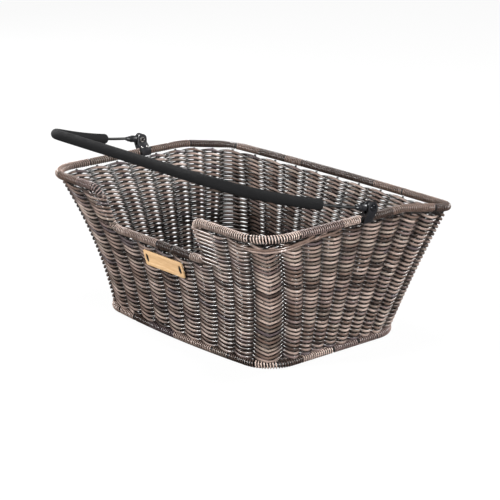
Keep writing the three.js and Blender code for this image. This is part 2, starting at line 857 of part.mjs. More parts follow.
function outerSection() {
  return [
    [splitGap, -CLAMP_DROP],
    [CLAMP_DEPTH / 2, -CLAMP_DROP],
    [outerFace, SHOULDER_OUTER],
    [outerFace, clampTop],
    [slotOuter, clampTop],
    [slotOuter, slotBottom],
    [slotInner + CLEARANCE, slotBottom],
    [slotInner + CLEARANCE, SPLIT_RISE - splitGap],
    [splitGap, SPLIT_RISE - splitGap],
  ];
}

function clampHalf(section, holes) {
  const shape = new THREE.Shape(section.map(([x, z]) => new THREE.Vector2(x, z)));
  const bar = new THREE.ExtrudeGeometry(shape, { depth: CLAMP_WIDTH, bevelEnabled: false });
  bar.rotateX(Math.PI / 2);
  bar.translate(0, CLAMP_WIDTH / 2, 0);
  const tab = plateX(clampOutline(), -CLAMP_DEPTH, outerFace + CLAMP_DEPTH);
  const grooveRadius = rodRadius + CLEARANCE;
  const groove = new THREE.CylinderGeometry(grooveRadius, grooveRadius, 2 * CLAMP_WIDTH, ROUND_SIDES);
  const blank = toGeometry(toSolid(bar).intersect(toSolid(tab)));
  return cut(blank, [groove, ...holes]);
}

function pivotHole(radius, from, to) {
  const hole = diskX(radius, from, to, ROUND_SIDES);
  hole.translate(0, 0, PIVOT_RISE);
  return hole;
}

function clampInner() {
  return clampHalf(innerSection(), [pivotHole(eyeletSleeve + CLEARANCE, 0, PIVOT_OFFSET)]);
}

// The outer half has a round well for the screw's head
function clampOuter() {
  const beyond = outerFace + WELL_DEPTH;
  const hole = pivotHole(pivotBore, PIVOT_OFFSET, beyond);
  const well = pivotHole(WELL_D / 2, outerFace - WELL_DEPTH, beyond);
  return clampHalf(outerSection(), [hole, well]);
}

function latheX(profile, rise) {
  const points = profile.map(([r, x]) => new THREE.Vector2(r, x));
  const geometry = new THREE.LatheGeometry(points, ROUND_SIDES);
  geometry.rotateZ(-Math.PI / 2);
  geometry.translate(0, 0, rise);
  return geometry;
}

// Pivot screw: its end lies in the eyelet's bore and its head in the well
function pivotScrew() {
  const seat = outerFace - WELL_DEPTH + CLEARANCE;
  const top = seat + PIVOT_HEAD_HEIGHT;
  const bevel = PIVOT_HEAD_HEIGHT / 2;
  return latheX([
    [0, innerFace],
    [pivotRadius, innerFace],
    [pivotRadius, seat],
    [PIVOT_HEAD_D / 2, seat],
    [PIVOT_HEAD_D / 2, top - bevel],
    [PIVOT_HEAD_D / 2 - bevel, top],
    [0, top],
  ], PIVOT_RISE);
}

// Flanged sleeve that lines the hole in the clamp's inner half
function pivotEyelet() {
  const face = innerFace - CLEARANCE;
  const outside = face - EYELET_FLANGE;
  return latheX([
    [pivotBore, outside],
    [EYELET_D / 2, outside],
    [EYELET_D / 2, face],
    [eyeletSleeve, face],
    [eyeletSleeve, slotInner],
    [pivotBore, slotInner],
    [pivotBore, outside],
  ], PIVOT_RISE);
}

// Handle: a bail of wire with an end fitting in each clamp and a foam grip, drawn with the pivots' axis
// on X and the reach along +Y, then turned to its resting tilt.

const pivotX = rimHalfWidth + PIVOT_OFFSET;
const leanTan = Math.tan(radians(HANDLE_LEAN_DEG));
const crossbarX = pivotX - (HANDLE_REACH - HANDLE_BEND_START) * leanTan;

function handleStations(startReach) {
  const corners = [
    [-pivotX, startReach],
    [-pivotX, HANDLE_BEND_START],
    [-crossbarX, HANDLE_REACH],
    [crossbarX, HANDLE_REACH],
    [pivotX, HANDLE_BEND_START],
    [pivotX, startReach],
  ];
  const radii = [HANDLE_BEND_RADIUS, HANDLE_CORNER_RADIUS, HANDLE_CORNER_RADIUS, HANDLE_BEND_RADIUS];
  const path = filletedPath(corners, radii, BEND_STEPS);
  const normal = new THREE.Vector3(0, 0, 1);
  return subdivided(path).map(([x, reach]) => {
    const rise = HANDLE_RISE * Math.max(0, (reach - BARREL_END) / (HANDLE_REACH - BARREL_END)) ** 2;
    return { p: new THREE.Vector3(x, reach, -rise), out: normal };
  });
}

// Steps added on the arms, which bend upwards
function subdivided(path) {
  return path.flatMap((point, i) => {
    const next = path[i + 1];
    if (!next || Math.abs(next[1] - point[1]) < ARM_STEP) return [point];
    const steps = Math.ceil(Math.abs(next[1] - point[1]) / ARM_STEP);
    return Array.from({ length: steps }, (_, k) => [
      mix(point[0], next[0], k / steps),
      mix(point[1], next[1], k / steps),
    ]);
  });
}

function gripStations() {
  const whole = handleStations(BARREL_END);
  const distances = whole.map((s) => s.p.y);
  const first = distances.findIndex((d) => d > GRIP_START);
  const last = distances.length - 1 - [...distances].reverse().findIndex((d) => d > GRIP_START);
  const ending = (outside, inside) => {
    const u = (GRIP_START - outside.p.y) / (inside.p.y - outside.p.y);
    return { p: outside.p.clone().lerp(inside.p, u), out: inside.out };
  };
  const start = ending(whole[first - 1], whole[first]);
  const end = ending(whole[last + 1], whole[last]);
  return [start, ...whole.slice(first, last + 1), end];
}

function handleWire() {
  const seat = BARREL_END - SOCKET_DEPTH + CLEARANCE;
  return sweep(handleStations(seat), polygon(WIRE_D / 2, ROD_SIDES), false);
}

// Foam sleeve with rounded ends
function handleGrip() {
  const stations = gripStations();
  const sides = GRIP_SIDES;
  const along = tangents(stations, false);
  const inner = polygon(boreRadius(WIRE_D / 2, sides), sides);
  const round = GRIP_D / 2 - WIRE_D;
  const outerStations = [];
  const radii = [];
  const addEnd = (station, tangent, direction) => {
    const list = [];
    for (let k = 0; k <= GRIP_END_STEPS; k += 1) {
      const angle = Math.PI / 2 * k / GRIP_END_STEPS;
      const shift = direction * round * (1 - Math.cos(angle));
      const p = station.p.clone().addScaledVector(tangent, shift);
      list.push({ station: { p, out: station.out }, radius: GRIP_D / 2 - round * (1 - Math.sin(angle)) });
    }
    if (direction < 0) list.reverse();
    for (const item of list) {
      outerStations.push(item.station);
      radii.push(item.radius);
    }
  };
  addEnd(stations[0], along[0], 1);
  for (const station of stations.slice(1, -1)) {
    outerStations.push(station);
    radii.push(GRIP_D / 2);
  }
  const last = stations.length - 1;
  addEnd(stations[last], along[last], -1);
  const turns = tangents(outerStations, false);
  const positions = [];
  const triangles = [];
  const outerRings = outerStations.map((s, i) => sectionRing(s, turns[i], polygon(radii[i], sides)));
  const innerRings = outerStations.map((s, i) => sectionRing(s, turns[i], inner));
  const outerBase = skin(outerRings, false, false, positions, triangles);
  const innerBase = skin(innerRings, false, true, positions, triangles);
  const end = (outerStations.length - 1) * sides;
  for (let j = 0; j < sides; j += 1) {
    const side = (j + 1) % sides;
    const [a, b] = [outerBase + j, outerBase + side];
    const [c, d] = [innerBase + side, innerBase + j];
    triangles.push(a, b, c, a, c, d);
    triangles.push(a + end, c + end, b + end, a + end, d + end, c + end);
  }
  return indexed(positions, triangles);
}

// End fitting: a round lug between the clamp's halves and a stepped barrel that holds the wire
function endFitting() {
  const lug = diskX(LUG_D / 2, -LUG_THICKNESS / 2, LUG_THICKNESS / 2, ROUND_SIDES);
  const neckLength = BARREL_START + BARREL_CHAMFER;
  const neck = new THREE.BoxGeometry(LUG_THICKNESS - CLEARANCE, neckLength, NECK_HEIGHT);
  neck.translate(0, neckLength / 2, 0);
  const tip = BARREL_END - BARREL_TIP_LENGTH;
  const profile = [
    [0, BARREL_START],
    [BARREL_D / 2 - BARREL_CHAMFER, BARREL_START],
    [BARREL_D / 2, BARREL_START + BARREL_CHAMFER],
    [BARREL_D / 2, BARREL_STEP - BARREL_CHAMFER],
    [BARREL_WAIST_D / 2, BARREL_STEP],
    [BARREL_WAIST_D / 2, tip],
    [BARREL_TIP_D / 2, tip + BARREL_CHAMFER],
    [BARREL_TIP_D / 2 - BARREL_CHAMFER, BARREL_END],
    [0, BARREL_END],
  ];
  const barrel = new THREE.LatheGeometry(profile.map(([r, y]) => new THREE.Vector2(r, y)), ROUND_SIDES);
  const hole = diskX(pivotBore, -LUG_THICKNESS, LUG_THICKNESS, ROUND_SIDES);
  const socketRadius = WIRE_D / 2 + CLEARANCE / Math.cos(Math.PI / ROD_SIDES);
  const socket = new THREE.CylinderGeometry(socketRadius, socketRadius, 2 * SOCKET_DEPTH, ROUND_SIDES);
  socket.translate(0, BARREL_END, 0);
  return cut(join([lug, neck, barrel]), [hole, socket]);
}

// Tag: a thin plate with two slots, held by a tie in each

function tagFrame() {
  const at = (z) => {
    const [x, y] = planPoint(FRONT, 0.5, (z - baseZ) / (rimZ - baseZ), -WALL_SET_IN + WALL_THICKNESS / 2);
    return new THREE.Vector3(x, y, z);
  };
  const half = TAG_HEIGHT / 2;
  const centreZ = recessBottomZ - TAG_DROP;
  const low = at(centreZ - half);
  const high = at(centreZ + half);
  const up = high.clone().sub(low).normalize();
  const right = new THREE.Vector3(1, 0, 0);
  const out = right.clone().cross(up);
  const centre = low.clone().add(high).multiplyScalar(0.5).addScaledVector(out, TAG_STAND_OFF);
  centre.x = TAG_CENTRE_X;
  return new THREE.Matrix4().makeBasis(right, up, out).setPosition(centre);
}

function slotOutline(x, width, height) {
  const points = [];
  for (let k = 0; k < SLOT_SIDES; k += 1) {
    const angle = 2 * Math.PI * k / SLOT_SIDES;
    points.push(new THREE.Vector2(x + width / 2 * Math.cos(angle), height / 2 * Math.sin(angle)));
  }
  return points;
}

function tagPlate() {
  const [w, h, r] = [TAG_WIDTH / 2, TAG_HEIGHT / 2, TAG_RADIUS];
  const shape = new THREE.Shape();
  shape.moveTo(-w + r, -h);
  shape.lineTo(w - r, -h);
  shape.lineTo(w, -h + r);
  shape.lineTo(w, h - r);
  shape.lineTo(w - r, h);
  shape.lineTo(-w + r, h);
  shape.lineTo(-w, h - r);
  shape.lineTo(-w, -h + r);
  shape.closePath();
  for (const side of [-1, 1]) {
    const outlinePoints = slotOutline(side * TAG_SLOT_SPACING / 2, TAG_SLOT_WIDTH, TAG_SLOT_HEIGHT);
    shape.holes.push(new THREE.Path(outlinePoints));
  }
  return new THREE.ExtrudeGeometry(shape, { depth: TAG_THICKNESS, bevelEnabled: false });
}

function tagTie(side) {
  const width = TAG_SLOT_WIDTH - 2 * TIE_CLEARANCE;
  const height = TAG_SLOT_HEIGHT - 2 * TIE_CLEARANCE;
  const shape = new THREE.Shape(slotOutline(side * TAG_SLOT_SPACING / 2, width, height));
  return new THREE.ExtrudeGeometry(shape, { depth: TIE_THICKNESS, bevelEnabled: false });
}

// Assembly. The group is moved so that its bounding box is centred over the origin.

const basket = new THREE.Group();
const body = new THREE.Group();
basket.add(body);

function add(parent, name, geometry, finish) {
  geometry.computeVertexNormals();
  const mesh = new THREE.Mesh(geometry, new THREE.MeshStandardMaterial(finishes[finish]));
  mesh.name = name;
  parent.add(mesh);
  return mesh;
}

const stakes = stakePlaces();

add(body, 'rim_rod', sweep(rim, polygon(rodRadius, RING_SIDES), true), 'rod');
add(body, 'rim_binding_front', rimBinding(true), 'weave');
add(body, 'rim_binding_rear', rimBinding(false), 'weave');
add(body, 'base_rod', sweep(base, polygon(rodRadius, RING_SIDES), true), 'rod');
add(body, 'base_binding', baseBinding(), 'weave');
add(body, 'woven_wall', wovenWall(stakes), 'weave');
add(body, 'woven_floor', wovenFloor(), 'weave');
for (const place of stakes) add(body, place.name, stake(place), 'stake');

const handle = new THREE.Group();
handle.position.set(0, HINGE_Y, pivotZ);
handle.rotation.set(radians(180 - HANDLE_TILT_DEG), 0, 0);
body.add(handle);
add(handle, 'handle_wire', handleWire(), 'rod');
add(handle, 'handle_grip', handleGrip(), 'foam');

for (const [name, side] of [['right', 1], ['left', -1]]) {
  const sided = (geometry) => (side > 0 ? geometry : mirrorX(geometry));
  const hinge = new THREE.Group();
  hinge.position.set(side * rimHalfWidth, HINGE_Y, rimZ);
  body.add(hinge);
  add(hinge, `hinge_outer_${name}`, sided(clampOuter()), 'plastic');
  add(hinge, `hinge_inner_${name}`, sided(clampInner()), 'plastic');
  add(hinge, `pivot_screw_${name}`, sided(pivotScrew()), 'steel');
  add(hinge, `pivot_eyelet_${name}`, sided(pivotEyelet()), 'steel');
  const fitting = add(handle, `handle_end_${name}`, endFitting(), 'plastic');
  fitting.position.set(side * pivotX, 0, 0);
}

const tag = new THREE.Group();
tag.applyMatrix4(tagFrame());
body.add(tag);
add(tag, 'tag_plate', tagPlate(), 'tag');
add(tag, 'tag_tie_left', tagTie(-1), 'plastic');
add(tag, 'tag_tie_right', tagTie(1), 'plastic');

basket.updateMatrixWorld(true);
const box = new THREE.Box3().setFromObject(basket, true);
const centre = box.getCenter(new THREE.Vector3());
body.position.set(-centre.x, -centre.y, -box.min.z);
basket.updateMatrixWorld(true);

export default basket;
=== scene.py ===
import json
import math

import bmesh
import bpy
import numpy as np
from mathutils import Matrix, Vector
from mathutils.bvhtree import BVHTree


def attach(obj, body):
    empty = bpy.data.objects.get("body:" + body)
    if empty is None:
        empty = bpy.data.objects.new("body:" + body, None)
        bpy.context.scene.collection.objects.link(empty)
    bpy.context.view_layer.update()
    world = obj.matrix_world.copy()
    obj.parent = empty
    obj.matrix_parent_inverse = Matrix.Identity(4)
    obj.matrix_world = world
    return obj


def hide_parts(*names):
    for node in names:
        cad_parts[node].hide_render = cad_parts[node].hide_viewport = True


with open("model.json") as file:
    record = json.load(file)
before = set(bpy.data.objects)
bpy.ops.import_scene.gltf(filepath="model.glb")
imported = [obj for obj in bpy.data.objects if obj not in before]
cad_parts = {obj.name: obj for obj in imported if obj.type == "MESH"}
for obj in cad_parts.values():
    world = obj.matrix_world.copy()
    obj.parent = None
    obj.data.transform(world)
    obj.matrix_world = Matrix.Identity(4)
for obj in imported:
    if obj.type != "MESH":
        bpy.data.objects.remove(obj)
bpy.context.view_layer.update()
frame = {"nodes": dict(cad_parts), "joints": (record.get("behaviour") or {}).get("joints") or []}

# Sizes are in millimetres. The basket stands on z = 0, its saddle side faces -y, and y is measured
# from the middle of the base, until Skin.build moves a piece into the frame by shift_y.

MM = 0.001

# The rim, the base and the walls between them, as in the part's source
ROD_D = 7.5
RING_D = 10.7
RIM_WIDTH = 460
RIM_FRONT = 172.2
RIM_REAR = 162.2
RIM_HEIGHT = 188
RIM_DROP = 17
RIM_BEND_Y = 67.6
RIM_BEND_SOFT = 24
RIM_FRONT_RADIUS = 42.6
RIM_REAR_RADIUS = 27
RIM_REAR_BOW = 4
BASE_WIDTH = 355
BASE_DEPTH = 249.6
BASE_RADIUS = 42.2
BASE_FRONT_BOW = 6.2
FRONT_CONCAVITY = 0.7
SIDE_CONCAVITY = 0.22
WALL_SET_IN = 1.3
WALL_FOOT_GAP = 0.3
STAKE_D = 3.2
RIM_GAP = 4

# Spans between stakes
SHOULDER_COUNT = 2
BELOW_RECESS_COUNT = 6
SIDE_COUNT = 9
REAR_COUNT = 10

# The recess for the saddle
RECESS_STAKE_LEFT = 13.5
RECESS_STAKE_RIGHT = 25.5
RECESS_WIDTH = 200
RECESS_CENTRE_X = -5.4
RECESS_DEPTH = 58.5
RECESS_TOP_RADIUS = 13
RECESS_BOTTOM_RADIUS = 16

# The handle
HINGE_Y = -3.6
CLAMP_WIDTH = 16
PIVOT_RISE = 16
PIVOT_OFFSET = 9
HANDLE_TILT = 10
HANDLE_REACH = 202
HANDLE_RISE = 16.8
HANDLE_LEAN = 16
HANDLE_CORNER_RADIUS = 60
HANDLE_BEND_RADIUS = 30
HANDLE_BEND_START = 30
WIRE_D = 3.8
GRIP_D = 14
GRIP_START = 72
GRIP_END_RADIUS = 2.6
BARREL_END = 26
SOCKET_DEPTH = 10
WIRE_CLEARANCE = 0.3
WIRE_SIDES, WIRE_STEP = 20, 3
GRIP_SIDES, GRIP_STEP = 40, 2
GRIP_HOLE_INSET = 0.2
GRIP_END_RINGS = 6
BEND_STEPS = 24

# The wall's strands: two in each row
STRAND_HALF_DEPTH = 1.45
STRAND_HALF_HEIGHT = 1.95
STRAND_SIDES = 8
STEPS_PER_SPAN = 14
ROWS = 30
BANDS = 4
FIRST_ROW_LIFT = 0.8
LAST_ROW_LIFT = 1.6
SAG = 2.6  # how much lower a strand is outside a stake, and higher inside one, than between two
SNAP = 1.3  # how fast it crosses from outside to inside
LOOP_RISE = 0.9  # half the height that a strand changes on its way round the recess's side rod
FOLD_AT = (-1, -0.75, -0.5, 0, 0.5, 0.75, 1)
FOLD_LIFT = (0, 0.6, 1.2, -3.2, 5.3, 2.0, 0)
LOOP_CLEARANCE = 1
FOOT_TUCK = 0.6  # how far a strand's end goes in under the recess, in the lower corner's radii

# Waves of unevenness: turns round the basket, height, and how each turns and swells from row to row
WAVE_TURNS = (3, 7, 13, 19)
WAVE_HEIGHT = 0.16
WAVE_DRIFT, WAVE_DRIFT_STEP = 0.31, 0.17
WAVE_SWELL = 0.23

# A few strands lie slantwise outside the top rows, from before the near corner to under the rim
# after it: where each begins, bends and ends, counted in stakes, and how far over the wall's top
# it is there
SLANTED = (
    ((8.7, 10, 12.1), (-3.0, -6.5, 1.6)),
    ((9.1, 10, 12.7), (-6.5, -10.0, 1.2)),
    ((10.3, 11.4, 13.4), (-6.0, -3.0, 1.4)),
)
SLANTED_CLEARANCE = 1.3
SLANTED_TUCK = 0.16  # the part of its length in which an end goes back into the wall

# The strands wound round the rim and the base ring
WRAP_PITCH = 3.45
WRAP_HALF_WIDTH = 0.92
WRAP_HALF_THICKNESS = 1.12
WRAP_CENTRE = 4.32
WRAP_STEPS = 14
WRAP_SIDES = 8
WRAP_MARGIN = 0.8
WRAP_GAPS = (0.4, 2.2)
WRAP_START_ANGLES = (0, 6.28)
PATH_STEP = 0.25
RIM_STEP = 0.5
CLAMP_CLEARANCE = 0.6
SIDEWAYS = 0.9  # what faces at least so much to one side is a side of the rim
RIM_RUNS = (28, 85)
RECESS_FOOT_RUNS = (28, 40)
BASE_RUNS = (22, 60)
SIDE_STEPS = 24
SHOULDER_STEPS = 6

# The floor
FLOOR_STRAND_R = 1.45
FLOOR_PITCH = 5.7
FLOOR_RODS = 9
FLOOR_MARGIN = 6.4
FLOOR_INSET = 5.3
FLOOR_STEPS_PER_SPAN = 10
FLOOR_STRAND_SIDES = 6
FLOOR_ROD_SIDES = 10
FLOOR_ROD_STEPS = 12
FLOOR_ROD_MARGIN = 1

# Colours along a strand: the shortest and longest stretch of one tone, and the tones of some wraps
WALL_RUNS = (30, 200)
FLOOR_RUNS = (40, 320)
TONE_STEP = 2.0
LIGHT_TONE, DARK_TONE = 0.33, 0.57
REAR_TONES = (0.17, 0.3)
DARK_SHARE = 0.4
NEAR_CORNER_END = 150
FOOT_DARK_START, FOOT_DARK_END = 80, 150

# Painted shade: the least shade, the shade edge-on, and how it changes from there to full face
WOVEN_LEAST, WOVEN_EDGE, WOVEN_POWER = 0.03, 0.12, 1.6
WOUND_LEAST, WOUND_EDGE, WOUND_GAIN = 0.05, 0.06, 1.3

ring_flat = RING_D / 2 * math.cos(math.pi / 10)
rod_radius = ROD_D / 2
base_z = ring_flat
rim_z = base_z + RIM_HEIGHT
rim_half_width = RIM_WIDTH / 2 - RING_D / 2
base_half_width = BASE_WIDTH / 2 - RING_D / 2
base_half_depth = BASE_DEPTH / 2 - RING_D / 2
recess_bottom_z = rim_z - RECESS_DEPTH
recess_left = RECESS_CENTRE_X - RECESS_WIDTH / 2
recess_right = RECESS_CENTRE_X + RECESS_WIDTH / 2
wall_bottom = base_z + ring_flat + WALL_FOOT_GAP
wall_amplitude = STAKE_D / 2 + STRAND_HALF_DEPTH
floor_amplitude = STAKE_D / 2 + FLOOR_STRAND_R
loop_radius = rod_radius + STRAND_HALF_DEPTH
pivot_x = rim_half_width + PIVOT_OFFSET
pivot_z = rim_z + PIVOT_RISE
crossbar_x = pivot_x - (HANDLE_REACH - HANDLE_BEND_START) * math.tan(math.radians(HANDLE_LEAN))
shift_y = frame["joints"][0]["pos_m"][1] / MM - HINGE_Y

FRONT, FRONT_RIGHT, RIGHT, REAR_RIGHT, REAR, REAR_LEFT, LEFT, FRONT_LEFT = range(8)

rng = np.random.default_rng(7)


def mix(a, b, t):
    return a + (b - a) * t


def smooth(t):
    t = min(1.0, max(0.0, t))
    return t * t * (3 - 2 * t)


# The basket's outline: v is 0 at the base ring and 1 at the rim, and t is 0 to 1 along a side

def flare(v, concavity):
    return v - concavity * (v - v * v)


def outline(v):
    return (
        mix(base_half_width, rim_half_width, flare(v, SIDE_CONCAVITY)),
        mix(base_half_depth, RIM_FRONT, flare(v, FRONT_CONCAVITY)),
        mix(base_half_depth, RIM_REAR, v),
        mix(BASE_RADIUS, RIM_FRONT_RADIUS, v),
        mix(BASE_RADIUS, RIM_REAR_RADIUS, v),
        mix(BASE_FRONT_BOW, 0, v),
        mix(0, RIM_REAR_BOW, v),
    )


def plan(side, t, v, offset):
    half_width, front, rear, front_radius, rear_radius, front_bow, rear_bow = outline(v)
    front_run = half_width - front_radius
    rear_run = half_width - rear_radius
    near_y = -(front - front_radius)
    far_y = rear - rear_radius
    s = 2 * t - 1

    def arc(x, y, radius, start):
        angle = start + t * math.pi / 2
        return x + (radius + offset) * math.cos(angle), y + (radius + offset) * math.sin(angle)

    if side == FRONT:
        return s * front_run, -(front + offset) - front_bow * (1 - s * s)
    if side == FRONT_RIGHT:
        return arc(front_run, near_y, front_radius, -math.pi / 2)
    if side == RIGHT:
        return half_width + offset, mix(near_y, far_y, t)
    if side == REAR_RIGHT:
        return arc(rear_run, far_y, rear_radius, 0)
    if side == REAR:
        return -s * rear_run, rear + offset + rear_bow * (1 - s * s)
    if side == REAR_LEFT:
        return arc(-rear_run, far_y, rear_radius, math.pi / 2)
    if side == LEFT:
        return -half_width - offset, mix(far_y, near_y, t)
    return arc(-front_run, near_y, front_radius, math.pi)


def outward(side, t):
    turn = 0 if side % 2 == 0 else t
    angle = -math.pi / 2 + (side // 2 + turn) * math.pi / 2
    return math.cos(angle), math.sin(angle), 0


def rim_height(side, t):
    y = plan(side, t, 1, 0)[1]
    past = min(RIM_REAR, y) - RIM_BEND_Y
    half = RIM_BEND_SOFT / 2
    if past <= -half:
        softened = 0
    elif past >= half:
        softened = past
    else:
        softened = (past + half) ** 2 / (4 * half)
    return rim_z - RIM_DROP * min(1, softened / (RIM_REAR - RIM_BEND_Y))


def wall_top(side, t):
    return rim_height(side, t) - ring_flat - RIM_GAP


def wall_point(side, t, z, offset):
    v = (z - base_z) / (rim_height(side, t) - base_z)
    x, y = plan(side, t, v, offset)
    return np.array([x, y, z])


# Places round the basket: whole numbers are the stakes, from the front left corner on and
# anticlockwise from above

def front_place(x, z):
    v = (z - base_z) / (rim_z - base_z)
    half_width, _, _, front_radius, _, _, _ = outline(v)
    return (x / (half_width - front_radius) + 1) / 2


def stake_runs():
    """For each side: how long its corner, straight and corner are, and where its stakes are."""
    half_width, front, rear, front_radius, rear_radius, _, _ = outline(1)
    front_arc = front_radius * math.pi / 4
    rear_arc = rear_radius * math.pi / 4
    front_run = 2 * (half_width - front_radius)
    rear_run = 2 * (half_width - rear_radius)
    side_run = front - front_radius + rear - rear_radius
    beside = [
        front_arc + front_run * front_place(x, recess_bottom_z)
        for x in (recess_left - RECESS_STAKE_LEFT, recess_right + RECESS_STAKE_RIGHT)
    ]
    front_counts = (SHOULDER_COUNT, BELOW_RECESS_COUNT, SHOULDER_COUNT)
    runs = []
    for parts, inner, counts in (
        ((front_arc, front_run, front_arc), beside, front_counts),
        ((front_arc, side_run, rear_arc), [], (SIDE_COUNT,)),
        ((rear_arc, rear_run, rear_arc), [], (REAR_COUNT,)),
        ((rear_arc, side_run, front_arc), [], (SIDE_COUNT,)),
    ):
        runs.append((parts, np.concatenate([[0], np.cumsum(counts)]), [0, *inner, sum(parts)]))
    return runs


RUNS = stake_runs()
STAKES = int(sum(stops[-1] for _, stops, _ in RUNS))
LEFT_EDGE_STAKE = SHOULDER_COUNT
RIGHT_EDGE_STAKE = SHOULDER_COUNT + BELOW_RECESS_COUNT
FRONT_CORNERS = np.array([0, int(RUNS[0][1][-1]), STAKES])


def place(k):
    k = k % STAKES
    for i, (parts, stops, distances) in enumerate(RUNS):
        if k <= stops[-1]:
            break
        k -= stops[-1]
    before, straight, after = parts
    d = float(np.interp(k, stops, distances))
    side = 2 * i
    if d < before:
        return (side + 7) % 8, 0.5 + 0.5 * d / before
    if d > before + straight:
        return side + 1, 0.5 * (d - before - straight) / after
    return side, (d - before) / straight


def front_number(t):
    """The inverse on the front wall: which number lies at a place along it."""
    (before, straight, _), stops, distances = RUNS[0]
    return float(np.interp(before + t * straight, distances, stops))


def numbers(start, end):
    count = max(2, int(round(abs(end - start) * STEPS_PER_SPAN)))
    return [start + (end - start) * i / count for i in range(count + 1)]


# Tubes in mesh code: a list of points, two directions across and two radii give one closed skin

class Skin:
    def __init__(self):
        self.points = []
        self.faces = []
        self.tones = []
        self.shades = []
        self.count = 0

    def tube(
        self, points, normals, binormals, a, b, sides, closed, tones, facing=1.0, shading=None,
    ):
        points = np.asarray(points, float)
        n = len(points)
        normals = np.asarray(normals, float)
        binormals = np.asarray(binormals, float)
        a, b, facing = (np.broadcast_to(np.asarray(v, float), (n,)) for v in (a, b, facing))
        angle = np.arange(sides) * 2 * math.pi / sides
        ca, sa = np.cos(angle), np.sin(angle)
        self.points.append((
            points[:, None, :]
            + normals[:, None, :] * (a[:, None] * ca)[:, :, None]
            + binormals[:, None, :] * (b[:, None] * sa)[:, :, None]
        ).reshape(-1, 3))
        self.tones.append(np.repeat(np.asarray(tones, float), sides))
        # Painted shade on each point, from the shading it is given, by how far the point faces out.
        shade = shading(facing[:, None] * ca) if shading else np.ones((n, sides))
        self.shades.append(shade.reshape(-1))
        start = self.count
        i, j = np.meshgrid(np.arange(n if closed else n - 1), np.arange(sides), indexing="ij")
        next_i, next_j = (i + 1) % n, (j + 1) % sides
        quads = [i * sides + j, i * sides + next_j, next_i * sides + next_j, next_i * sides + j]
        self.faces.extend((np.stack(quads, -1).reshape(-1, 4) + start).tolist())
        if not closed:
            self.faces.append([start + k for k in range(sides)][::-1])
            self.faces.append([start + (n - 1) * sides + k for k in range(sides)])
        self.count += n * sides

    def build(self, name, material):
        mesh = bpy.data.meshes.new(name)
        points = (np.concatenate(self.points) + np.array([0, shift_y, 0])) * MM
        mesh.from_pydata(points.tolist(), [], self.faces)
        for attribute, values in (("tone", self.tones), ("shade", self.shades)):
            layer = mesh.attributes.new(attribute, "FLOAT", "POINT")
            layer.data.foreach_set("value", np.concatenate(values).astype(np.float32))
        mesh.polygons.foreach_set("use_smooth", [True] * len(mesh.polygons))
        repair = bmesh.new()
        repair.from_mesh(mesh)
        bmesh.ops.recalc_face_normals(repair, faces=repair.faces)
        repair.to_mesh(mesh)
        repair.free()
        mesh.materials.append(material)
        piece = bpy.data.objects.new(name, mesh)
        bpy.context.scene.collection.objects.link(piece)
        return piece


def unit(vectors):
    vectors = np.asarray(vectors, float)
    return vectors / np.maximum(np.linalg.norm(vectors, axis=-1, keepdims=True), 1e-9)


def directions(points, closed):
    points = np.asarray(points, float)
    if closed:
        return unit(np.roll(points, -1, 0) - np.roll(points, 1, 0))
    return unit(np.gradient(points, axis=0))


def square_to(along, hint):
    """The part of a hint that is square to a line, as a unit vector at each point."""
    return unit(hint - along * np.sum(hint * along, 1, keepdims=True))


def across(points, hint, closed):
    along = directions(points, closed)
    normal = square_to(along, np.asarray(hint, float))
    return normal, np.cross(along, normal)


def distances_along(points):
    gaps = np.linalg.norm(np.diff(np.asarray(points, float), axis=0), axis=1)
    return np.concatenate([[0], np.cumsum(gaps)])


def at_distances(at, travelled, values):
    columns = [np.interp(at, travelled, values[:, c]) for c in range(values.shape[1])]
    return np.stack(columns, 1)


# Painted shade: a shade on the mesh, 1 on what faces out of the weave and darker on what
# faces into it, where the weave's shade falls. It goes by how far a point faces out: from 1
# where it does to -1 where it faces in.

def woven_painted_shade(out):
    return mix(WOVEN_LEAST, 1, np.clip(mix(WOVEN_EDGE, 1, out), 0, 1) ** WOVEN_POWER)


# On the wraps: painted shade in the grooves between turns and on the side towards the rod.
def wound_painted_shade(out):
    return np.clip(WOUND_EDGE + WOUND_GAIN * out, WOUND_LEAST, 1)


def tones_for(points, shortest, longest):
    """Stretches of one tone along a strand, as one number from 0 to 1 for each of its points."""
    travelled = distances_along(points)
    count = int((travelled[-1] + 10) / TONE_STEP) + 2
    tones = np.empty(count)
    at = 0
    while at < count:
        run = int(rng.uniform(shortest, longest) / TONE_STEP) + 1
        tones[at:at + run] = rng.random()
        at += run
    return tones[(travelled / TONE_STEP).astype(int)]


# Gentle unevenness of the rows: a few waves round the basket that drift from row to row. The third
# phase of each wave isn't used, and it is drawn so that the later random numbers stay as they are.
wave_phase = rng.uniform(0, 2 * math.pi, (len(WAVE_TURNS), 3))


def unevenness(row, k):
    value = 0.0
    for i, turns in enumerate(WAVE_TURNS):
        drift = row * (WAVE_DRIFT + WAVE_DRIFT_STEP * i)
        angle = 2 * math.pi * turns * k / STAKES + wave_phase[i][0] + drift
        value += math.sin(angle) * math.sin(row * WAVE_SWELL * (i + 1) + wave_phase[i][1])
    return WAVE_HEIGHT * value


# Materials

def linear(r, g, b):
    def one(c):
        c /= 255
        return c / 12.92 if c <= 0.04045 else ((c + 0.055) / 1.055) ** 2.4
    return one(r), one(g), one(b), 1.0


def grey(value):
    return value, value, value, 1.0


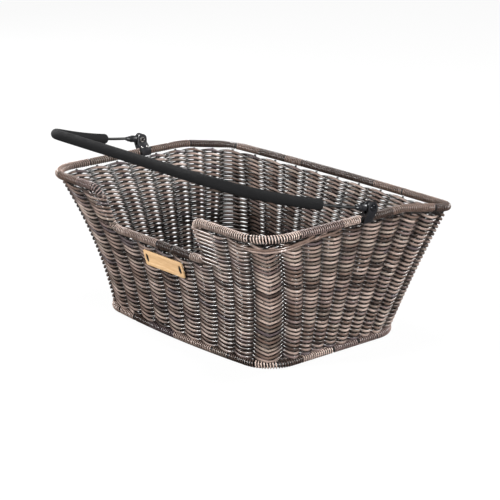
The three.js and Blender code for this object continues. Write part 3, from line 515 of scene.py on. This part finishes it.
class Finish:
    """A material with one shader, and what feeds it."""

    def __init__(self, name):
        self.material = bpy.data.materials.new(name)
        self.material.use_nodes = True
        tree = self.material.node_tree
        self.nodes, self.links = tree.nodes, tree.links
        self.nodes.clear()
        output = self.nodes.new("ShaderNodeOutputMaterial")
        self.shader = self.nodes.new("ShaderNodeBsdfPrincipled")
        self.links.new(self.shader.outputs[0], output.inputs[0])
        self.place = self.nodes.new("ShaderNodeTexCoord").outputs["Object"]

    def attribute(self, name):
        node = self.nodes.new("ShaderNodeAttribute")
        node.attribute_name = name
        return node.outputs["Fac"]

    def noise(self, scale, detail, roughness=0.6, source=None):
        node = self.nodes.new("ShaderNodeTexNoise")
        node.inputs["Scale"].default_value = scale
        node.inputs["Detail"].default_value = detail
        node.inputs["Roughness"].default_value = roughness
        self.links.new(source or self.place, node.inputs["Vector"])
        return node.outputs["Fac"]

    def ramp(self, source, stops, interpolation="LINEAR"):
        node = self.nodes.new("ShaderNodeValToRGB")
        node.color_ramp.interpolation = interpolation
        elements = node.color_ramp.elements
        while len(elements) > 1:
            elements.remove(elements[-1])
        elements[0].position, elements[0].color = stops[0]
        for position, colour in stops[1:]:
            elements.new(position).color = colour
        self.links.new(source, node.inputs[0])
        return node.outputs[0]

    def greys(self, source, low, high, start=0.3, end=0.7):
        return self.ramp(source, [(start, grey(low)), (end, grey(high))])

    def product(self, a, b):
        node = self.nodes.new("ShaderNodeMix")
        node.data_type = "RGBA"
        node.blend_type = "MULTIPLY"
        node.inputs[0].default_value = 1.0
        self.links.new(a, node.inputs[6])
        self.links.new(b, node.inputs[7])
        return node.outputs[2]

    def bump(self, height, strength, distance):
        node = self.nodes.new("ShaderNodeBump")
        node.inputs["Strength"].default_value = strength
        node.inputs["Distance"].default_value = distance
        self.links.new(height, node.inputs["Height"])
        self.feed("Normal", node.outputs[0])

    def feed(self, socket, source):
        self.links.new(source, self.shader.inputs[socket])

    def set(self, socket, value):
        self.shader.inputs[socket].default_value = value


STRAND_TONES = [
    (0.00, linear(152, 131, 121)),
    (0.17, linear(118, 98, 88)),
    (0.31, linear(184, 163, 152)),
    (0.45, linear(126, 111, 101)),
    (0.55, linear(78, 64, 58)),
    (0.61, linear(164, 143, 133)),
    (0.79, linear(130, 111, 106)),
    (0.90, linear(166, 149, 137)),
    (0.95, linear(100, 87, 88)),
]


def strand_material(name, gain=1.0):
    """A strand's tone with mottling, fine streaks and painted shade, under a thin gloss."""
    finish = Finish(name)
    mottling = finish.noise(70, 4)
    streaks = finish.noise(520, 3)
    mixed = finish.ramp(finish.attribute("tone"), STRAND_TONES, "CONSTANT")
    mixed = finish.product(mixed, finish.greys(mottling, 0.68 * gain, 1.14 * gain))
    mixed = finish.product(mixed, finish.greys(streaks, 0.86, 1.06))
    # Painted shade: the shade attribute darkens the colour where a strand faces into the weave or a
    # wrap's grooves.
    painted_shade = finish.greys(finish.attribute("shade"), 0.0, 1.0, 0.0, 1.0)
    finish.feed("Base Color", finish.product(mixed, painted_shade))
    finish.feed("Roughness", finish.greys(streaks, 0.22, 0.4))
    finish.set("Coat Weight", 0.3)
    finish.set("Coat Roughness", 0.2)
    finish.bump(streaks, 0.35, 0.0004)
    return finish.material


def plain_material(
    name, colour, roughness, metallic=0.0, grain=900, variation=0.1, depth=0.00012, strength=0.3,
    specular=0.5,
):
    """One colour with broad variation, uneven roughness and a fine grain."""
    finish = Finish(name)
    broad = finish.noise(45, 4)
    base = finish.nodes.new("ShaderNodeRGB").outputs[0]
    base.default_value = colour
    shade = finish.greys(broad, 1 - variation, 1 + variation)
    finish.feed("Base Color", finish.product(base, shade))
    finish.feed("Roughness", finish.greys(broad, roughness - 0.07, roughness + 0.07))
    finish.set("Metallic", metallic)
    finish.set("Specular IOR Level", specular)
    finish.bump(finish.noise(grain, 3), strength, depth)
    return finish.material


def wood_material(name):
    finish = Finish(name)
    mapping = finish.nodes.new("ShaderNodeMapping")
    mapping.inputs["Scale"].default_value = (18, 220, 220)
    finish.links.new(finish.place, mapping.inputs["Vector"])
    grain = finish.noise(3.2, 6, 0.65, mapping.outputs[0])
    finish.feed("Base Color", finish.ramp(grain, [
        (0.30, linear(194, 151, 104)),
        (0.50, linear(216, 177, 131)),
        (0.72, linear(230, 197, 153)),
    ]))
    finish.set("Roughness", 0.6)
    finish.bump(grain, 0.25, 0.0003)
    return finish.material


weave_finish = strand_material("weave_strand")
wrap_finish = strand_material("wrap_strand", 1.18)
rod_finish = plain_material("coated_rod", linear(26, 24, 24), 0.45)
stake_finish = plain_material("coated_stake", linear(30, 27, 27), 0.5)
plastic_finish = plain_material(
    "moulded_black", linear(27, 27, 30), 0.3, grain=1600, depth=0.00006,
)
wire_finish = plain_material(
    "coated_wire", linear(14, 14, 15), 0.5, grain=700, depth=0.00005, specular=0.3,
)
foam_finish = plain_material(
    "grip_foam", linear(20, 20, 21), 0.9, grain=1400, variation=0.15, depth=0.0005, strength=0.7,
    specular=0.16,
)
metal_finish = plain_material(
    "bright_nickel", linear(200, 198, 194), 0.22, metallic=1.0, grain=600, depth=0.00002,
)
screw_finish = plain_material(
    "dark_nickel", linear(112, 112, 118), 0.16, metallic=1.0, grain=600, depth=0.00002,
)
dark_finish = plain_material("dark_recess", linear(18, 17, 17), 0.6)
tag_finish = wood_material("tag_wood")

# Camera: the photograph's view. Its distances from the middle of the base are along its own axes.

LENS, SENSOR_WIDTH, CLIP_END = 126.28, 36, 50
AZIMUTH, ELEVATION = math.radians(49.246), math.radians(17.37)
CAMERA_RIGHT, CAMERA_UP, CAMERA_BACK = 1.25, 88.16, 2400.9

camera_data = bpy.data.cameras.new("camera")
camera_data.sensor_width = SENSOR_WIDTH
camera_data.lens = LENS
camera_data.clip_end = CLIP_END
camera = bpy.data.objects.new("camera", camera_data)
bpy.context.scene.collection.objects.link(camera)
bpy.context.scene.camera = camera
right_axis = Vector((math.cos(AZIMUTH), math.sin(AZIMUTH), 0))
back_axis = Vector((
    math.sin(AZIMUTH) * math.cos(ELEVATION),
    -math.cos(AZIMUTH) * math.cos(ELEVATION),
    math.sin(ELEVATION),
))
up_axis = back_axis.cross(right_axis)
camera_turn = Matrix((right_axis, up_axis, back_axis)).transposed()
camera_place = (
    CAMERA_RIGHT * right_axis + CAMERA_UP * up_axis + CAMERA_BACK * back_axis
    + Vector((0, shift_y, base_z))
)
camera.matrix_world = Matrix.Translation(camera_place * MM) @ camera_turn.to_4x4()


# Woven walls

def row_height(row, side, t):
    low = wall_bottom + FIRST_ROW_LIFT
    high = wall_top(side, t) + LAST_ROW_LIFT
    return mix(low, high, (row + 0.5) / ROWS)


def corner_fold(row, k):
    """At the front corners a row folds over the stake: down to it and steeply up after it."""
    away = k % STAKES - FRONT_CORNERS
    lift = float(np.interp(away[np.argmin(np.abs(away))], FOLD_AT, FOLD_LIFT))
    room = ROWS - 0.5 - row if lift > 0 else row + 0.5
    return lift * min(1, room / 2)


def strand_station(row, k, strand):
    """Two strands a row: each passes outside one stake, low, and inside the next, high."""
    side, t = place(k)
    z = row_height(row, side, t)
    quarter = (wall_top(side, t) - wall_bottom) / ROWS / 4
    phase = math.pi * k
    swing = strand * math.tanh(SNAP * math.cos(phase)) / math.tanh(SNAP)
    lift = -strand * (quarter * math.sin(phase) + SAG * math.cos(phase))
    lift += unevenness(row, k) + corner_fold(row, k)
    point = wall_point(side, t, z + lift, -WALL_SET_IN + wall_amplitude * swing)
    return point, outward(side, t), swing


def recess_side(z, sign):
    """x of the recess's side rod at a height."""
    edge = recess_right if sign > 0 else recess_left
    past_top = z - (rim_z - RECESS_TOP_RADIUS)
    past_bottom = recess_bottom_z + RECESS_BOTTOM_RADIUS - z
    for past, radius, way in (
        (past_top, RECESS_TOP_RADIUS, sign), (past_bottom, RECESS_BOTTOM_RADIUS, -sign),
    ):
        if past > 0:
            return edge + way * (radius - math.sqrt(max(0, radius ** 2 - past ** 2)))
    return edge


first_cut_row = next(
    row for row in range(ROWS)
    if row_height(row, FRONT, 0.5) + 2 * STRAND_HALF_HEIGHT > recess_bottom_z - ring_flat
)
first_loop_row = next(
    row for row in range(ROWS)
    if row_height(row, FRONT, 0.5) > recess_bottom_z + LOOP_CLEARANCE
)


def beside_recess(row, sign, strand):
    """From the edge stake to the side rod: the strands stay apart and open out round the rod."""
    stake = RIGHT_EDGE_STAKE if sign > 0 else LEFT_EDGE_STAKE
    z = row_height(row, FRONT, 0.5)
    end = front_number(front_place(recess_side(z, sign), z))
    at_stake, at_rod = -WALL_SET_IN + wall_amplitude * strand, loop_radius * strand
    stations = []
    for i in range(1, 6):
        u = i / 5
        k = mix(stake, end, u)
        side, t = place(k)
        lift = strand * mix(-SAG, LOOP_RISE, u) + unevenness(row, k) * (1 - u)
        point = wall_point(side, t, z + lift, mix(at_stake, at_rod, smooth(u)))
        stations.append((point, (0, -1, 0), strand))
    return stations


def loop_round(row, sign):
    """Half a turn round the recess's side rod, from outside to inside."""
    z = row_height(row, FRONT, 0.5)
    centre = wall_point(FRONT, front_place(recess_side(z, sign), z), z, 0)
    stations = []
    for i in range(1, 8):
        angle = math.pi * i / 8
        dx = -sign * loop_radius * math.sin(angle)
        dy = -loop_radius * math.cos(angle)
        dz = LOOP_RISE * math.cos(angle)
        stations.append((centre + np.array([dx, dy, dz]), (dx, dy, 0), 1))
    return stations


def add_strand(skin, stations, closed):
    points, hints, facing = zip(*stations)
    normal, binormal = across(points, hints, closed)
    skin.tube(
        points, normal, binormal, STRAND_HALF_DEPTH, STRAND_HALF_HEIGHT, STRAND_SIDES, closed,
        tones_for(points, *WALL_RUNS), facing, woven_painted_shade,
    )


def weave_rows(rows, name):
    """Low rows go all round, the next end under the recess, and the rest turn back beside it."""
    skin = Skin()
    tuck = FOOT_TUCK * RECESS_BOTTOM_RADIUS
    for row in rows:

        def stations(start, end, strand):
            return [strand_station(row, k, strand) for k in numbers(start, end)]

        if row < first_cut_row:
            for strand in (1, -1):
                add_strand(skin, stations(0, STAKES, strand)[:-1], True)
        elif row < first_loop_row:
            z = row_height(row, FRONT, 0.5)
            start = front_number(front_place(recess_right - tuck, z))
            end = front_number(front_place(recess_left + tuck, z)) + STAKES
            for strand in (1, -1):
                add_strand(skin, stations(start, end, strand), False)
        else:
            start, end = RIGHT_EDGE_STAKE, LEFT_EDGE_STAKE + STAKES
            left = beside_recess(row, -1, 1) + loop_round(row, -1)
            left += beside_recess(row, -1, -1)[::-1]
            right = beside_recess(row, 1, -1) + loop_round(row, 1)[::-1]
            right += beside_recess(row, 1, 1)[::-1]
            outer, inner = stations(start, end, 1), stations(end, start, -1)
            add_strand(skin, outer + left + inner + right, True)
    piece = skin.build(name, weave_finish)
    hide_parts("woven_wall")
    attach(piece, "basket")


for band in range(BANDS):
    rows = range(ROWS * band // BANDS, ROWS * (band + 1) // BANDS)
    weave_rows(rows, f"woven_rows_{band + 1}")

slanted_skin = Skin()
slanted_out = wall_amplitude - WALL_SET_IN + SLANTED_CLEARANCE
for stops, lifts in SLANTED:
    stations = []
    for k in numbers(stops[0], stops[-1]):
        side, t = place(k)
        u = (k - stops[0]) / (stops[-1] - stops[0])
        offset = mix(-1.0, slanted_out, smooth(min(u, 1 - u) / SLANTED_TUCK))
        z = wall_top(side, t) + float(np.interp(k, stops, lifts))
        stations.append((wall_point(side, t, z, offset), outward(side, t), 1))
    add_strand(slanted_skin, stations, False)
slanted_strands = slanted_skin.build("slanted_strands", weave_finish)
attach(slanted_strands, "basket")


# Strands wound close round the rim and the base ring. A path is a list of points, each with its
# outward direction.

def dense(path, step):
    """Points, outward directions and distances along a path, evenly spaced."""
    points, outs = (np.array(column, float) for column in zip(*path))
    travelled = distances_along(points)
    at = np.arange(0, travelled[-1], step)
    return at_distances(at, travelled, points), unit(at_distances(at, travelled, outs)), at


def ring_path(v, height, places):
    return [
        (np.array([*plan(side, t, v, 0), height(side, t)]), outward(side, t)) for side, t in places
    ]


def recess_arc(x, z, radius, start, end, steps):
    """An arc in the front wall round a centre, from one angle to another in degrees."""
    path = []
    for i in range(steps + 1):
        angle = math.radians(mix(start, end, i / steps))
        px, pz = x + radius * math.cos(angle), z + radius * math.sin(angle)
        path.append((wall_point(FRONT, front_place(px, pz), pz, 0), (0, -1, 0)))
    return path


def wind(skin, path, shortest, longest, tone_at):
    """A strand wound round a path, with small gaps between one length and the next."""
    points, outs, at = dense(path, PATH_STEP)
    along = directions(points, False)
    normals = square_to(along, outs)
    ups = np.cross(along, normals)
    position = WRAP_MARGIN
    while position < at[-1] - WRAP_PITCH:
        run = min(rng.uniform(shortest, longest), at[-1] - WRAP_MARGIN - position)
        if run < 2 * WRAP_PITCH:
            break
        steps = int(run / WRAP_PITCH * WRAP_STEPS)
        where = position + run * np.arange(steps + 1) / steps
        index = np.clip((where / PATH_STEP).astype(int), 0, len(points) - 1)
        angle = 2 * math.pi * np.arange(steps + 1) / WRAP_STEPS + rng.uniform(*WRAP_START_ANGLES)
        radial = normals[index] * np.cos(angle)[:, None] + ups[index] * np.sin(angle)[:, None]
        spiral = at_distances(where, at, points) + radial * WRAP_CENTRE
        tone = tone_at(position, rng.random())
        skin.tube(
            spiral, radial, along[index], WRAP_HALF_THICKNESS, WRAP_HALF_WIDTH, WRAP_SIDES, False,
            np.full(steps + 1, tone), 1.0, wound_painted_shade,
        )
        position += run + rng.uniform(*WRAP_GAPS)


def rim_places():
    """The rim from the recess's right end round the back to its left end, without the fillets."""
    first = front_place(recess_right + RECESS_TOP_RADIUS, rim_z)
    last = front_place(recess_left - RECESS_TOP_RADIUS, rim_z)
    places = [(FRONT, mix(first, 1, i / SHOULDER_STEPS)) for i in range(SHOULDER_STEPS)]
    for side in range(FRONT_RIGHT, FRONT_LEFT + 1):
        places += [(side, i / SIDE_STEPS) for i in range(SIDE_STEPS)]
    return places + [(FRONT, last * i / SHOULDER_STEPS) for i in range(SHOULDER_STEPS + 1)]


def split_at_hinges(path):
    """The rim's path in three: before, between and after the two hinge clamps."""
    pieces = [[]]
    inside = False
    for point, out in path:
        near = abs(point[1] - HINGE_Y) < CLAMP_WIDTH / 2 + CLAMP_CLEARANCE
        under = near and abs(out[0]) > SIDEWAYS
        if under and not inside:
            pieces.append([])
        inside = under
        if not under:
            pieces[-1].append((point, out))
    return pieces


# The tone of a length of wrap: its own random one, or by where it begins

def near_corner_tone(at, tone):
    return LIGHT_TONE if at < NEAR_CORNER_END else tone


def rear_tone(at, tone):
    return DARK_TONE if tone < DARK_SHARE else mix(*REAR_TONES, tone)


def left_tone(at, tone):
    return tone


def recess_foot_tone(at, tone):
    if at < FOOT_DARK_START:
        return tone
    return DARK_TONE if at < FOOT_DARK_END else LIGHT_TONE


def base_tone(at, tone):
    return DARK_TONE if tone < DARK_SHARE else tone


fillet_top = (rim_z - RECESS_TOP_RADIUS, RECESS_TOP_RADIUS)
right_turn = recess_arc(recess_right + RECESS_TOP_RADIUS, *fillet_top, 196, 92, 10)
left_turn = recess_arc(recess_left - RECESS_TOP_RADIUS, *fillet_top, 88, -16, 10)
rim_path = right_turn + ring_path(1, rim_height, rim_places()) + left_turn
rim_points, rim_outs, _ = dense(rim_path, RIM_STEP)
rim_parts = split_at_hinges(zip(rim_points, rim_outs))

rim_skin = Skin()
for part, tone_at in zip(rim_parts, (near_corner_tone, rear_tone, left_tone)):
    wind(rim_skin, part, *RIM_RUNS, tone_at)
fillet_low = (recess_bottom_z + RECESS_BOTTOM_RADIUS, RECESS_BOTTOM_RADIUS)
recess_foot = recess_arc(recess_left + RECESS_BOTTOM_RADIUS, *fillet_low, 205, 270, 8)
recess_foot += recess_arc(recess_right - RECESS_BOTTOM_RADIUS, *fillet_low, 270, 335, 8)
wind(rim_skin, recess_foot, *RECESS_FOOT_RUNS, recess_foot_tone)
rim_wraps = rim_skin.build("rim_wraps", wrap_finish)
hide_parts("rim_binding_front", "rim_binding_rear")
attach(rim_wraps, "basket")

base_places = [(side, i / SIDE_STEPS) for side in range(8) for i in range(SIDE_STEPS)]
base_path = ring_path(0, lambda side, t: base_z, base_places + [(FRONT, 0)])
base_skin = Skin()
wind(base_skin, base_path, *BASE_RUNS, base_tone)
base_wraps = base_skin.build("base_wraps", wrap_finish)
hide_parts("base_binding")
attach(base_wraps, "basket")


# Woven floor inside the base ring

def floor_half_width(y):
    """Half the floor's width at a depth, inside the base ring's wraps."""
    half = base_half_width - FLOOR_INSET
    reach = abs(y) - (base_half_depth - BASE_RADIUS)
    if reach <= 0:
        return half
    radius = BASE_RADIUS - FLOOR_INSET
    return half - radius + math.sqrt(max(0.0, radius ** 2 - min(reach, radius) ** 2))


floor_skin = Skin()
spacing = 2 * base_half_width / (FLOOR_RODS + 1)
row_count = int((2 * base_half_depth - 2 * FLOOR_MARGIN) / FLOOR_PITCH)
for row in range(row_count):
    y = FLOOR_PITCH * (row + 0.5 - row_count / 2)
    half = floor_half_width(y)
    steps = int(2 * half / spacing * FLOOR_STEPS_PER_SPAN)
    x = -half + 2 * half * np.arange(steps + 1) / steps
    phase = math.pi * x / spacing
    for strand in (1, -1):
        swing = strand * np.cos(phase)
        sideways = strand * FLOOR_PITCH / 4 * np.sin(phase)
        points = np.stack([x, y + sideways, base_z + floor_amplitude * swing], 1)
        normal, binormal = across(points, np.tile([0, 0, 1], (len(points), 1)), False)
        floor_skin.tube(
            points, normal, binormal, FLOOR_STRAND_R, FLOOR_STRAND_R, FLOOR_STRAND_SIDES, False,
            tones_for(points, *FLOOR_RUNS), swing, woven_painted_shade,
        )
woven_floor = floor_skin.build("floor_weave", weave_finish)
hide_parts("woven_floor")
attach(woven_floor, "basket")

rod_skin = Skin()
half = base_half_depth - FLOOR_ROD_MARGIN
sideways, up = (np.tile(way, (FLOOR_ROD_STEPS, 1)) for way in ([1, 0, 0], [0, 0, 1]))
for i in range(FLOOR_RODS):
    x = spacing * (i - (FLOOR_RODS - 1) / 2)
    points = [[x, y, base_z] for y in np.linspace(-half, half, FLOOR_ROD_STEPS)]
    rod_skin.tube(
        points, sideways, up, STAKE_D / 2, STAKE_D / 2, FLOOR_ROD_SIDES, False,
        np.zeros(FLOOR_ROD_STEPS),
    )
floor_rods = rod_skin.build("floor_rods", stake_finish)
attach(floor_rods, "basket")


# Handle: the wire and its foam sleeve, drawn flat with the pivots on x and the reach along +y

def filleted(corners, radii, steps):
    corners = [np.array(corner, float) for corner in corners]
    points = [corners[0]]
    for before, corner, after, radius in zip(corners, corners[1:], corners[2:], radii):
        back, ahead = unit(before - corner), unit(after - corner)
        half = math.acos(max(-1, min(1, float(back @ ahead)))) / 2
        reach = radius / math.tan(half)
        centre = corner + unit(back + ahead) * radius / math.sin(half)
        start = corner + back * reach - centre
        end = corner + ahead * reach - centre
        turn = math.pi - 2 * half
        for j in range(steps + 1):
            u = j / steps
            arm = start * math.sin((1 - u) * turn) + end * math.sin(u * turn)
            points.append(centre + arm / math.sin(turn))
    points.append(corners[-1])
    return np.array(points)


def handle_path(start, step):
    corners = [
        (-pivot_x, start), (-pivot_x, HANDLE_BEND_START), (-crossbar_x, HANDLE_REACH),
        (crossbar_x, HANDLE_REACH), (pivot_x, HANDLE_BEND_START), (pivot_x, start),
    ]
    radii = [HANDLE_BEND_RADIUS, HANDLE_CORNER_RADIUS, HANDLE_CORNER_RADIUS, HANDLE_BEND_RADIUS]
    flat = filleted(corners, radii, BEND_STEPS)
    travelled = distances_along(flat)
    at = np.linspace(0, travelled[-1], int(travelled[-1] / step) + 1)
    x, reach = at_distances(at, travelled, flat).T
    along = np.maximum(0, (reach - BARREL_END) / (HANDLE_REACH - BARREL_END))
    return np.stack([x, reach, -HANDLE_RISE * along ** 2], 1)


def to_basket(points):
    angle = math.radians(180 - HANDLE_TILT)
    c, s = math.cos(angle), math.sin(angle)
    x, y, z = np.asarray(points, float).T
    return np.stack([x, y * c - z * s + HINGE_Y, y * s + z * c + pivot_z], 1)


def handle_tube(points, radii, sides, name, material, node):
    points = to_basket(points)
    tilt = math.radians(HANDLE_TILT)
    hint = np.tile([0, math.sin(tilt), math.cos(tilt)], (len(points), 1))
    normal, binormal = across(points, hint, False)
    skin = Skin()
    skin.tube(points, normal, binormal, radii, radii, sides, False, np.zeros(len(points)))
    piece = skin.build(name, material)
    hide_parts(node)
    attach(piece, "handle")


def rounded_ends(points, radius, rounding, hole):
    """A sleeve with rounded ends: extra rings at each end that close towards the wire."""
    first = unit(points[1] - points[0])
    last = unit(points[-2] - points[-1])
    head = [(points[0] + first * GRIP_HOLE_INSET, hole)]
    tail = [(points[-1] + last * GRIP_HOLE_INSET, hole)]
    for i in range(GRIP_END_RINGS + 1):
        angle = math.pi / 2 * i / GRIP_END_RINGS
        ring_radius = radius - rounding * (1 - math.sin(angle))
        inward = rounding * (1 - math.cos(angle))
        head.append((points[0] + first * inward, ring_radius))
        tail.append((points[-1] + last * inward, ring_radius))
    rings = head + [(p, radius) for p in points[2:-2]] + tail[::-1]
    return np.array([p for p, _ in rings]), np.array([r for _, r in rings])


wire_points = handle_path(BARREL_END - SOCKET_DEPTH + WIRE_CLEARANCE, WIRE_STEP)
handle_tube(
    wire_points, WIRE_D / 2, WIRE_SIDES, "bail_wire", wire_finish, "handle_wire",
)

grip_points = handle_path(BARREL_END, GRIP_STEP)
grip_points = grip_points[grip_points[:, 1] >= GRIP_START]
sleeve_points, sleeve_radii = rounded_ends(
    grip_points, GRIP_D / 2, GRIP_END_RADIUS, WIRE_D / 2 + WIRE_CLEARANCE,
)
handle_tube(
    sleeve_points, sleeve_radii, GRIP_SIDES, "foam_grip", foam_finish, "handle_grip",
)

# Moulded and metal pieces: the frame's own shapes with softened edges

MOULDED_EDGE, SMALL_EDGE, METAL_EDGE = 0.5, 0.35, 0.18
EDGE_SEGMENTS = 2
WELD_DISTANCE = 1e-5
FLAT_ANGLE, EDGE_ANGLE, SHADING_ANGLE = (math.radians(degrees) for degrees in (1.5, 32, 38))


def softened(node, width, material, slot_name, body):
    mesh = frame["nodes"][node].data.copy()
    work = bmesh.new()
    work.from_mesh(mesh)
    bmesh.ops.remove_doubles(work, verts=work.verts, dist=WELD_DISTANCE)
    bmesh.ops.dissolve_limit(work, angle_limit=FLAT_ANGLE, verts=work.verts, edges=work.edges)
    if width > 0:
        sharp = [
            e for e in work.edges
            if len(e.link_faces) == 2 and e.calc_face_angle(0) > EDGE_ANGLE
        ]
        bmesh.ops.bevel(
            work, geom=sharp, offset=width * MM, offset_type="OFFSET", segments=EDGE_SEGMENTS,
            profile=0.5, affect="EDGES", clamp_overlap=True,
        )
    bmesh.ops.recalc_face_normals(work, faces=work.faces)
    work.to_mesh(mesh)
    work.free()
    mesh.name = node + "_shape"
    mesh.polygons.foreach_set("use_smooth", [True] * len(mesh.polygons))
    mesh.set_sharp_from_angle(angle=SHADING_ANGLE)
    mesh.materials.clear()
    mesh.materials.append(material)
    piece = bpy.data.objects.new(node + "_piece", mesh)
    bpy.context.scene.collection.objects.link(piece)
    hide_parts(node)
    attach(piece, body)


for side_name in ("left", "right"):
    softened(f"hinge_outer_{side_name}", MOULDED_EDGE, plastic_finish, "black_plastic", "basket")
    softened(f"hinge_inner_{side_name}", MOULDED_EDGE, plastic_finish, "black_plastic", "basket")
    softened(f"pivot_screw_{side_name}", METAL_EDGE, screw_finish, "bright_metal", "basket")
    softened(f"pivot_eyelet_{side_name}", METAL_EDGE, metal_finish, "bright_metal", "basket")
    softened(f"handle_end_{side_name}", SMALL_EDGE, plastic_finish, "black_plastic", "handle")
    softened(f"tag_tie_{side_name}", 0, dark_finish, "black_plastic", "basket")
softened("tag_plate", SMALL_EDGE, tag_finish, "tag", "basket")

# Two small screw heads on the inner face of each clamp: heights over the face and radii of a head's
# rings. A ray from inside the basket finds the face.

HEAD_PROFILE = ((-0.3, 1.8), (0.4, 1.8), (0.65, 1.65), (0.85, 1.2), (0.9, 0.75), (0.45, 0.6))
HEAD_APART = 9.6
HEAD_RISE = 6.4
HEAD_SIDES = 20
RAY_REACH = 40

for side_name, toward in (("left", -1), ("right", 1)):
    heads = Skin()
    clamp_faces = bmesh.new()
    clamp_faces.from_mesh(frame["nodes"][f"hinge_inner_{side_name}"].data)
    clamp_tree = BVHTree.FromBMesh(clamp_faces)
    clamp_faces.free()
    start_x = toward * (rim_half_width - RAY_REACH)
    for dy in (-HEAD_APART / 2, HEAD_APART / 2):
        start = Vector((start_x, HINGE_Y + dy + shift_y, rim_z + HEAD_RISE)) * MM
        spot, face_normal, _, _ = clamp_tree.ray_cast(start, Vector((toward, 0, 0)))
        seat = np.array(spot) / MM - np.array([0, shift_y, 0])
        axis = np.array(face_normal)
        points = np.array([seat + axis * height for height, _ in HEAD_PROFILE])
        radii = [radius for _, radius in HEAD_PROFILE]
        normal = np.tile(unit([0, 0, 1] - axis * axis[2]), (len(points), 1))
        binormal = np.cross(np.tile(axis, (len(points), 1)), normal)
        heads.tube(
            points, normal, binormal, radii, radii, HEAD_SIDES, False, np.zeros(len(points)),
        )
    clamp_screws = heads.build(f"clamp_screws_{side_name}", metal_finish)
    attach(clamp_screws, "basket")

# The nodes that stay get their materials
for name, node in frame["nodes"].items():
    if name.startswith("stake_") or name in ("rim_rod", "base_rod"):
        node.data.materials.clear()
        node.data.materials.append(stake_finish if name.startswith("stake_") else rod_finish)

# Stage: a white floor but for the ground right under the basket, which stays in its shadow

FLOOR_HALF_SIZE = 6
SHADOW_FROM, SHADOW_TO = 0.9, 1.02  # in half widths and half depths of the base
GLOW_SHARE = 0.94


def stage_plane(name, half_size):
    work = bmesh.new()
    bmesh.ops.create_grid(work, x_segments=1, y_segments=1, size=half_size)
    mesh = bpy.data.meshes.new(name)
    work.to_mesh(mesh)
    work.free()
    plane = bpy.data.objects.new(name, mesh)
    bpy.context.scene.collection.objects.link(plane)
    return plane


floor_material = bpy.data.materials.new("studio_white")
floor_material.use_nodes = True
floor_nodes = floor_material.node_tree.nodes
floor_links = floor_material.node_tree.links
floor_nodes.clear()


def vector_math(operation, source, other=None):
    node = floor_nodes.new("ShaderNodeVectorMath")
    node.operation = operation
    floor_links.new(source, node.inputs[0])
    if other:
        node.inputs[1].default_value = other
    return node


ground = floor_nodes.new("ShaderNodeTexCoord").outputs["Object"]
centred = vector_math("SUBTRACT", ground, (0, shift_y * MM, 0))
shaped = vector_math(
    "DIVIDE", centred.outputs[0], (base_half_width * MM, base_half_depth * MM, 1),
)
distance = vector_math("LENGTH", shaped.outputs[0])
edge = floor_nodes.new("ShaderNodeMapRange")
edge.inputs["From Min"].default_value = SHADOW_FROM
edge.inputs["From Max"].default_value = SHADOW_TO
edge.inputs["To Min"].default_value = 0
edge.inputs["To Max"].default_value = GLOW_SHARE
floor_links.new(distance.outputs["Value"], edge.inputs["Value"])
floor_diffuse = floor_nodes.new("ShaderNodeBsdfDiffuse")
floor_diffuse.inputs[0].default_value = (0.85, 0.85, 0.85, 1)
floor_glow = floor_nodes.new("ShaderNodeEmission")
paths = floor_nodes.new("ShaderNodeLightPath")
floor_links.new(paths.outputs["Is Camera Ray"], floor_glow.inputs["Strength"])
floor_mix = floor_nodes.new("ShaderNodeMixShader")
floor_links.new(edge.outputs["Result"], floor_mix.inputs[0])
floor_links.new(floor_diffuse.outputs[0], floor_mix.inputs[1])
floor_links.new(floor_glow.outputs[0], floor_mix.inputs[2])
floor_output = floor_nodes.new("ShaderNodeOutputMaterial")
floor_links.new(floor_mix.outputs[0], floor_output.inputs[0])
floor = stage_plane("studio_floor", FLOOR_HALF_SIZE)
floor.data.materials.append(floor_material)

# The world is white to the camera and gives little light

WORLD_LIGHT, WORLD_SEEN = 0.05, 1.0

world = bpy.data.worlds.new("studio_world")
bpy.context.scene.world = world
world.use_nodes = True
world_nodes = world.node_tree.nodes
world_links = world.node_tree.links
world_nodes.clear()
world_mix = world_nodes.new("ShaderNodeMixShader")
for socket, strength in ((1, WORLD_LIGHT), (2, WORLD_SEEN)):
    background = world_nodes.new("ShaderNodeBackground")
    background.inputs["Color"].default_value = (1, 1, 1, 1)
    background.inputs["Strength"].default_value = strength
    world_links.new(background.outputs[0], world_mix.inputs[socket])
world_paths = world_nodes.new("ShaderNodeLightPath")
world_links.new(world_paths.outputs["Is Camera Ray"], world_mix.inputs[0])
world_output = world_nodes.new("ShaderNodeOutputWorld")
world_links.new(world_mix.outputs[0], world_output.inputs[0])


def softbox(name, location, target, size, power):
    """A square light that looks at a target. Places are in metres and powers in watts."""
    light = bpy.data.lights.new(name, "AREA")
    light.shape = "RECTANGLE"
    light.size = light.size_y = size
    light.energy = power
    lamp = bpy.data.objects.new(name, light)
    lamp.location = location
    lamp.rotation_mode = "QUATERNION"
    lamp.rotation_quaternion = (Vector(target) - Vector(location)).to_track_quat("-Z", "Y")
    bpy.context.scene.collection.objects.link(lamp)


softbox("top_light", (0.0, 0.1, 1.9), (0, 0, 0.1), 0.6, 19)
softbox("front_light", (-0.6, -1.9, 0.75), (0, 0, 0.12), 0.35, 56)
softbox("rear_light", (0.5, 2.0, 0.95), (0, 0, 0.12), 0.5, 44)
softbox("left_light", (-2.0, 0.2, 0.95), (0, 0, 0.12), 0.5, 44)
softbox("right_light", (2.0, -0.1, 0.5), (0, 0, 0.12), 0.35, 60)

bpy.context.scene.view_settings.view_transform = "Standard"
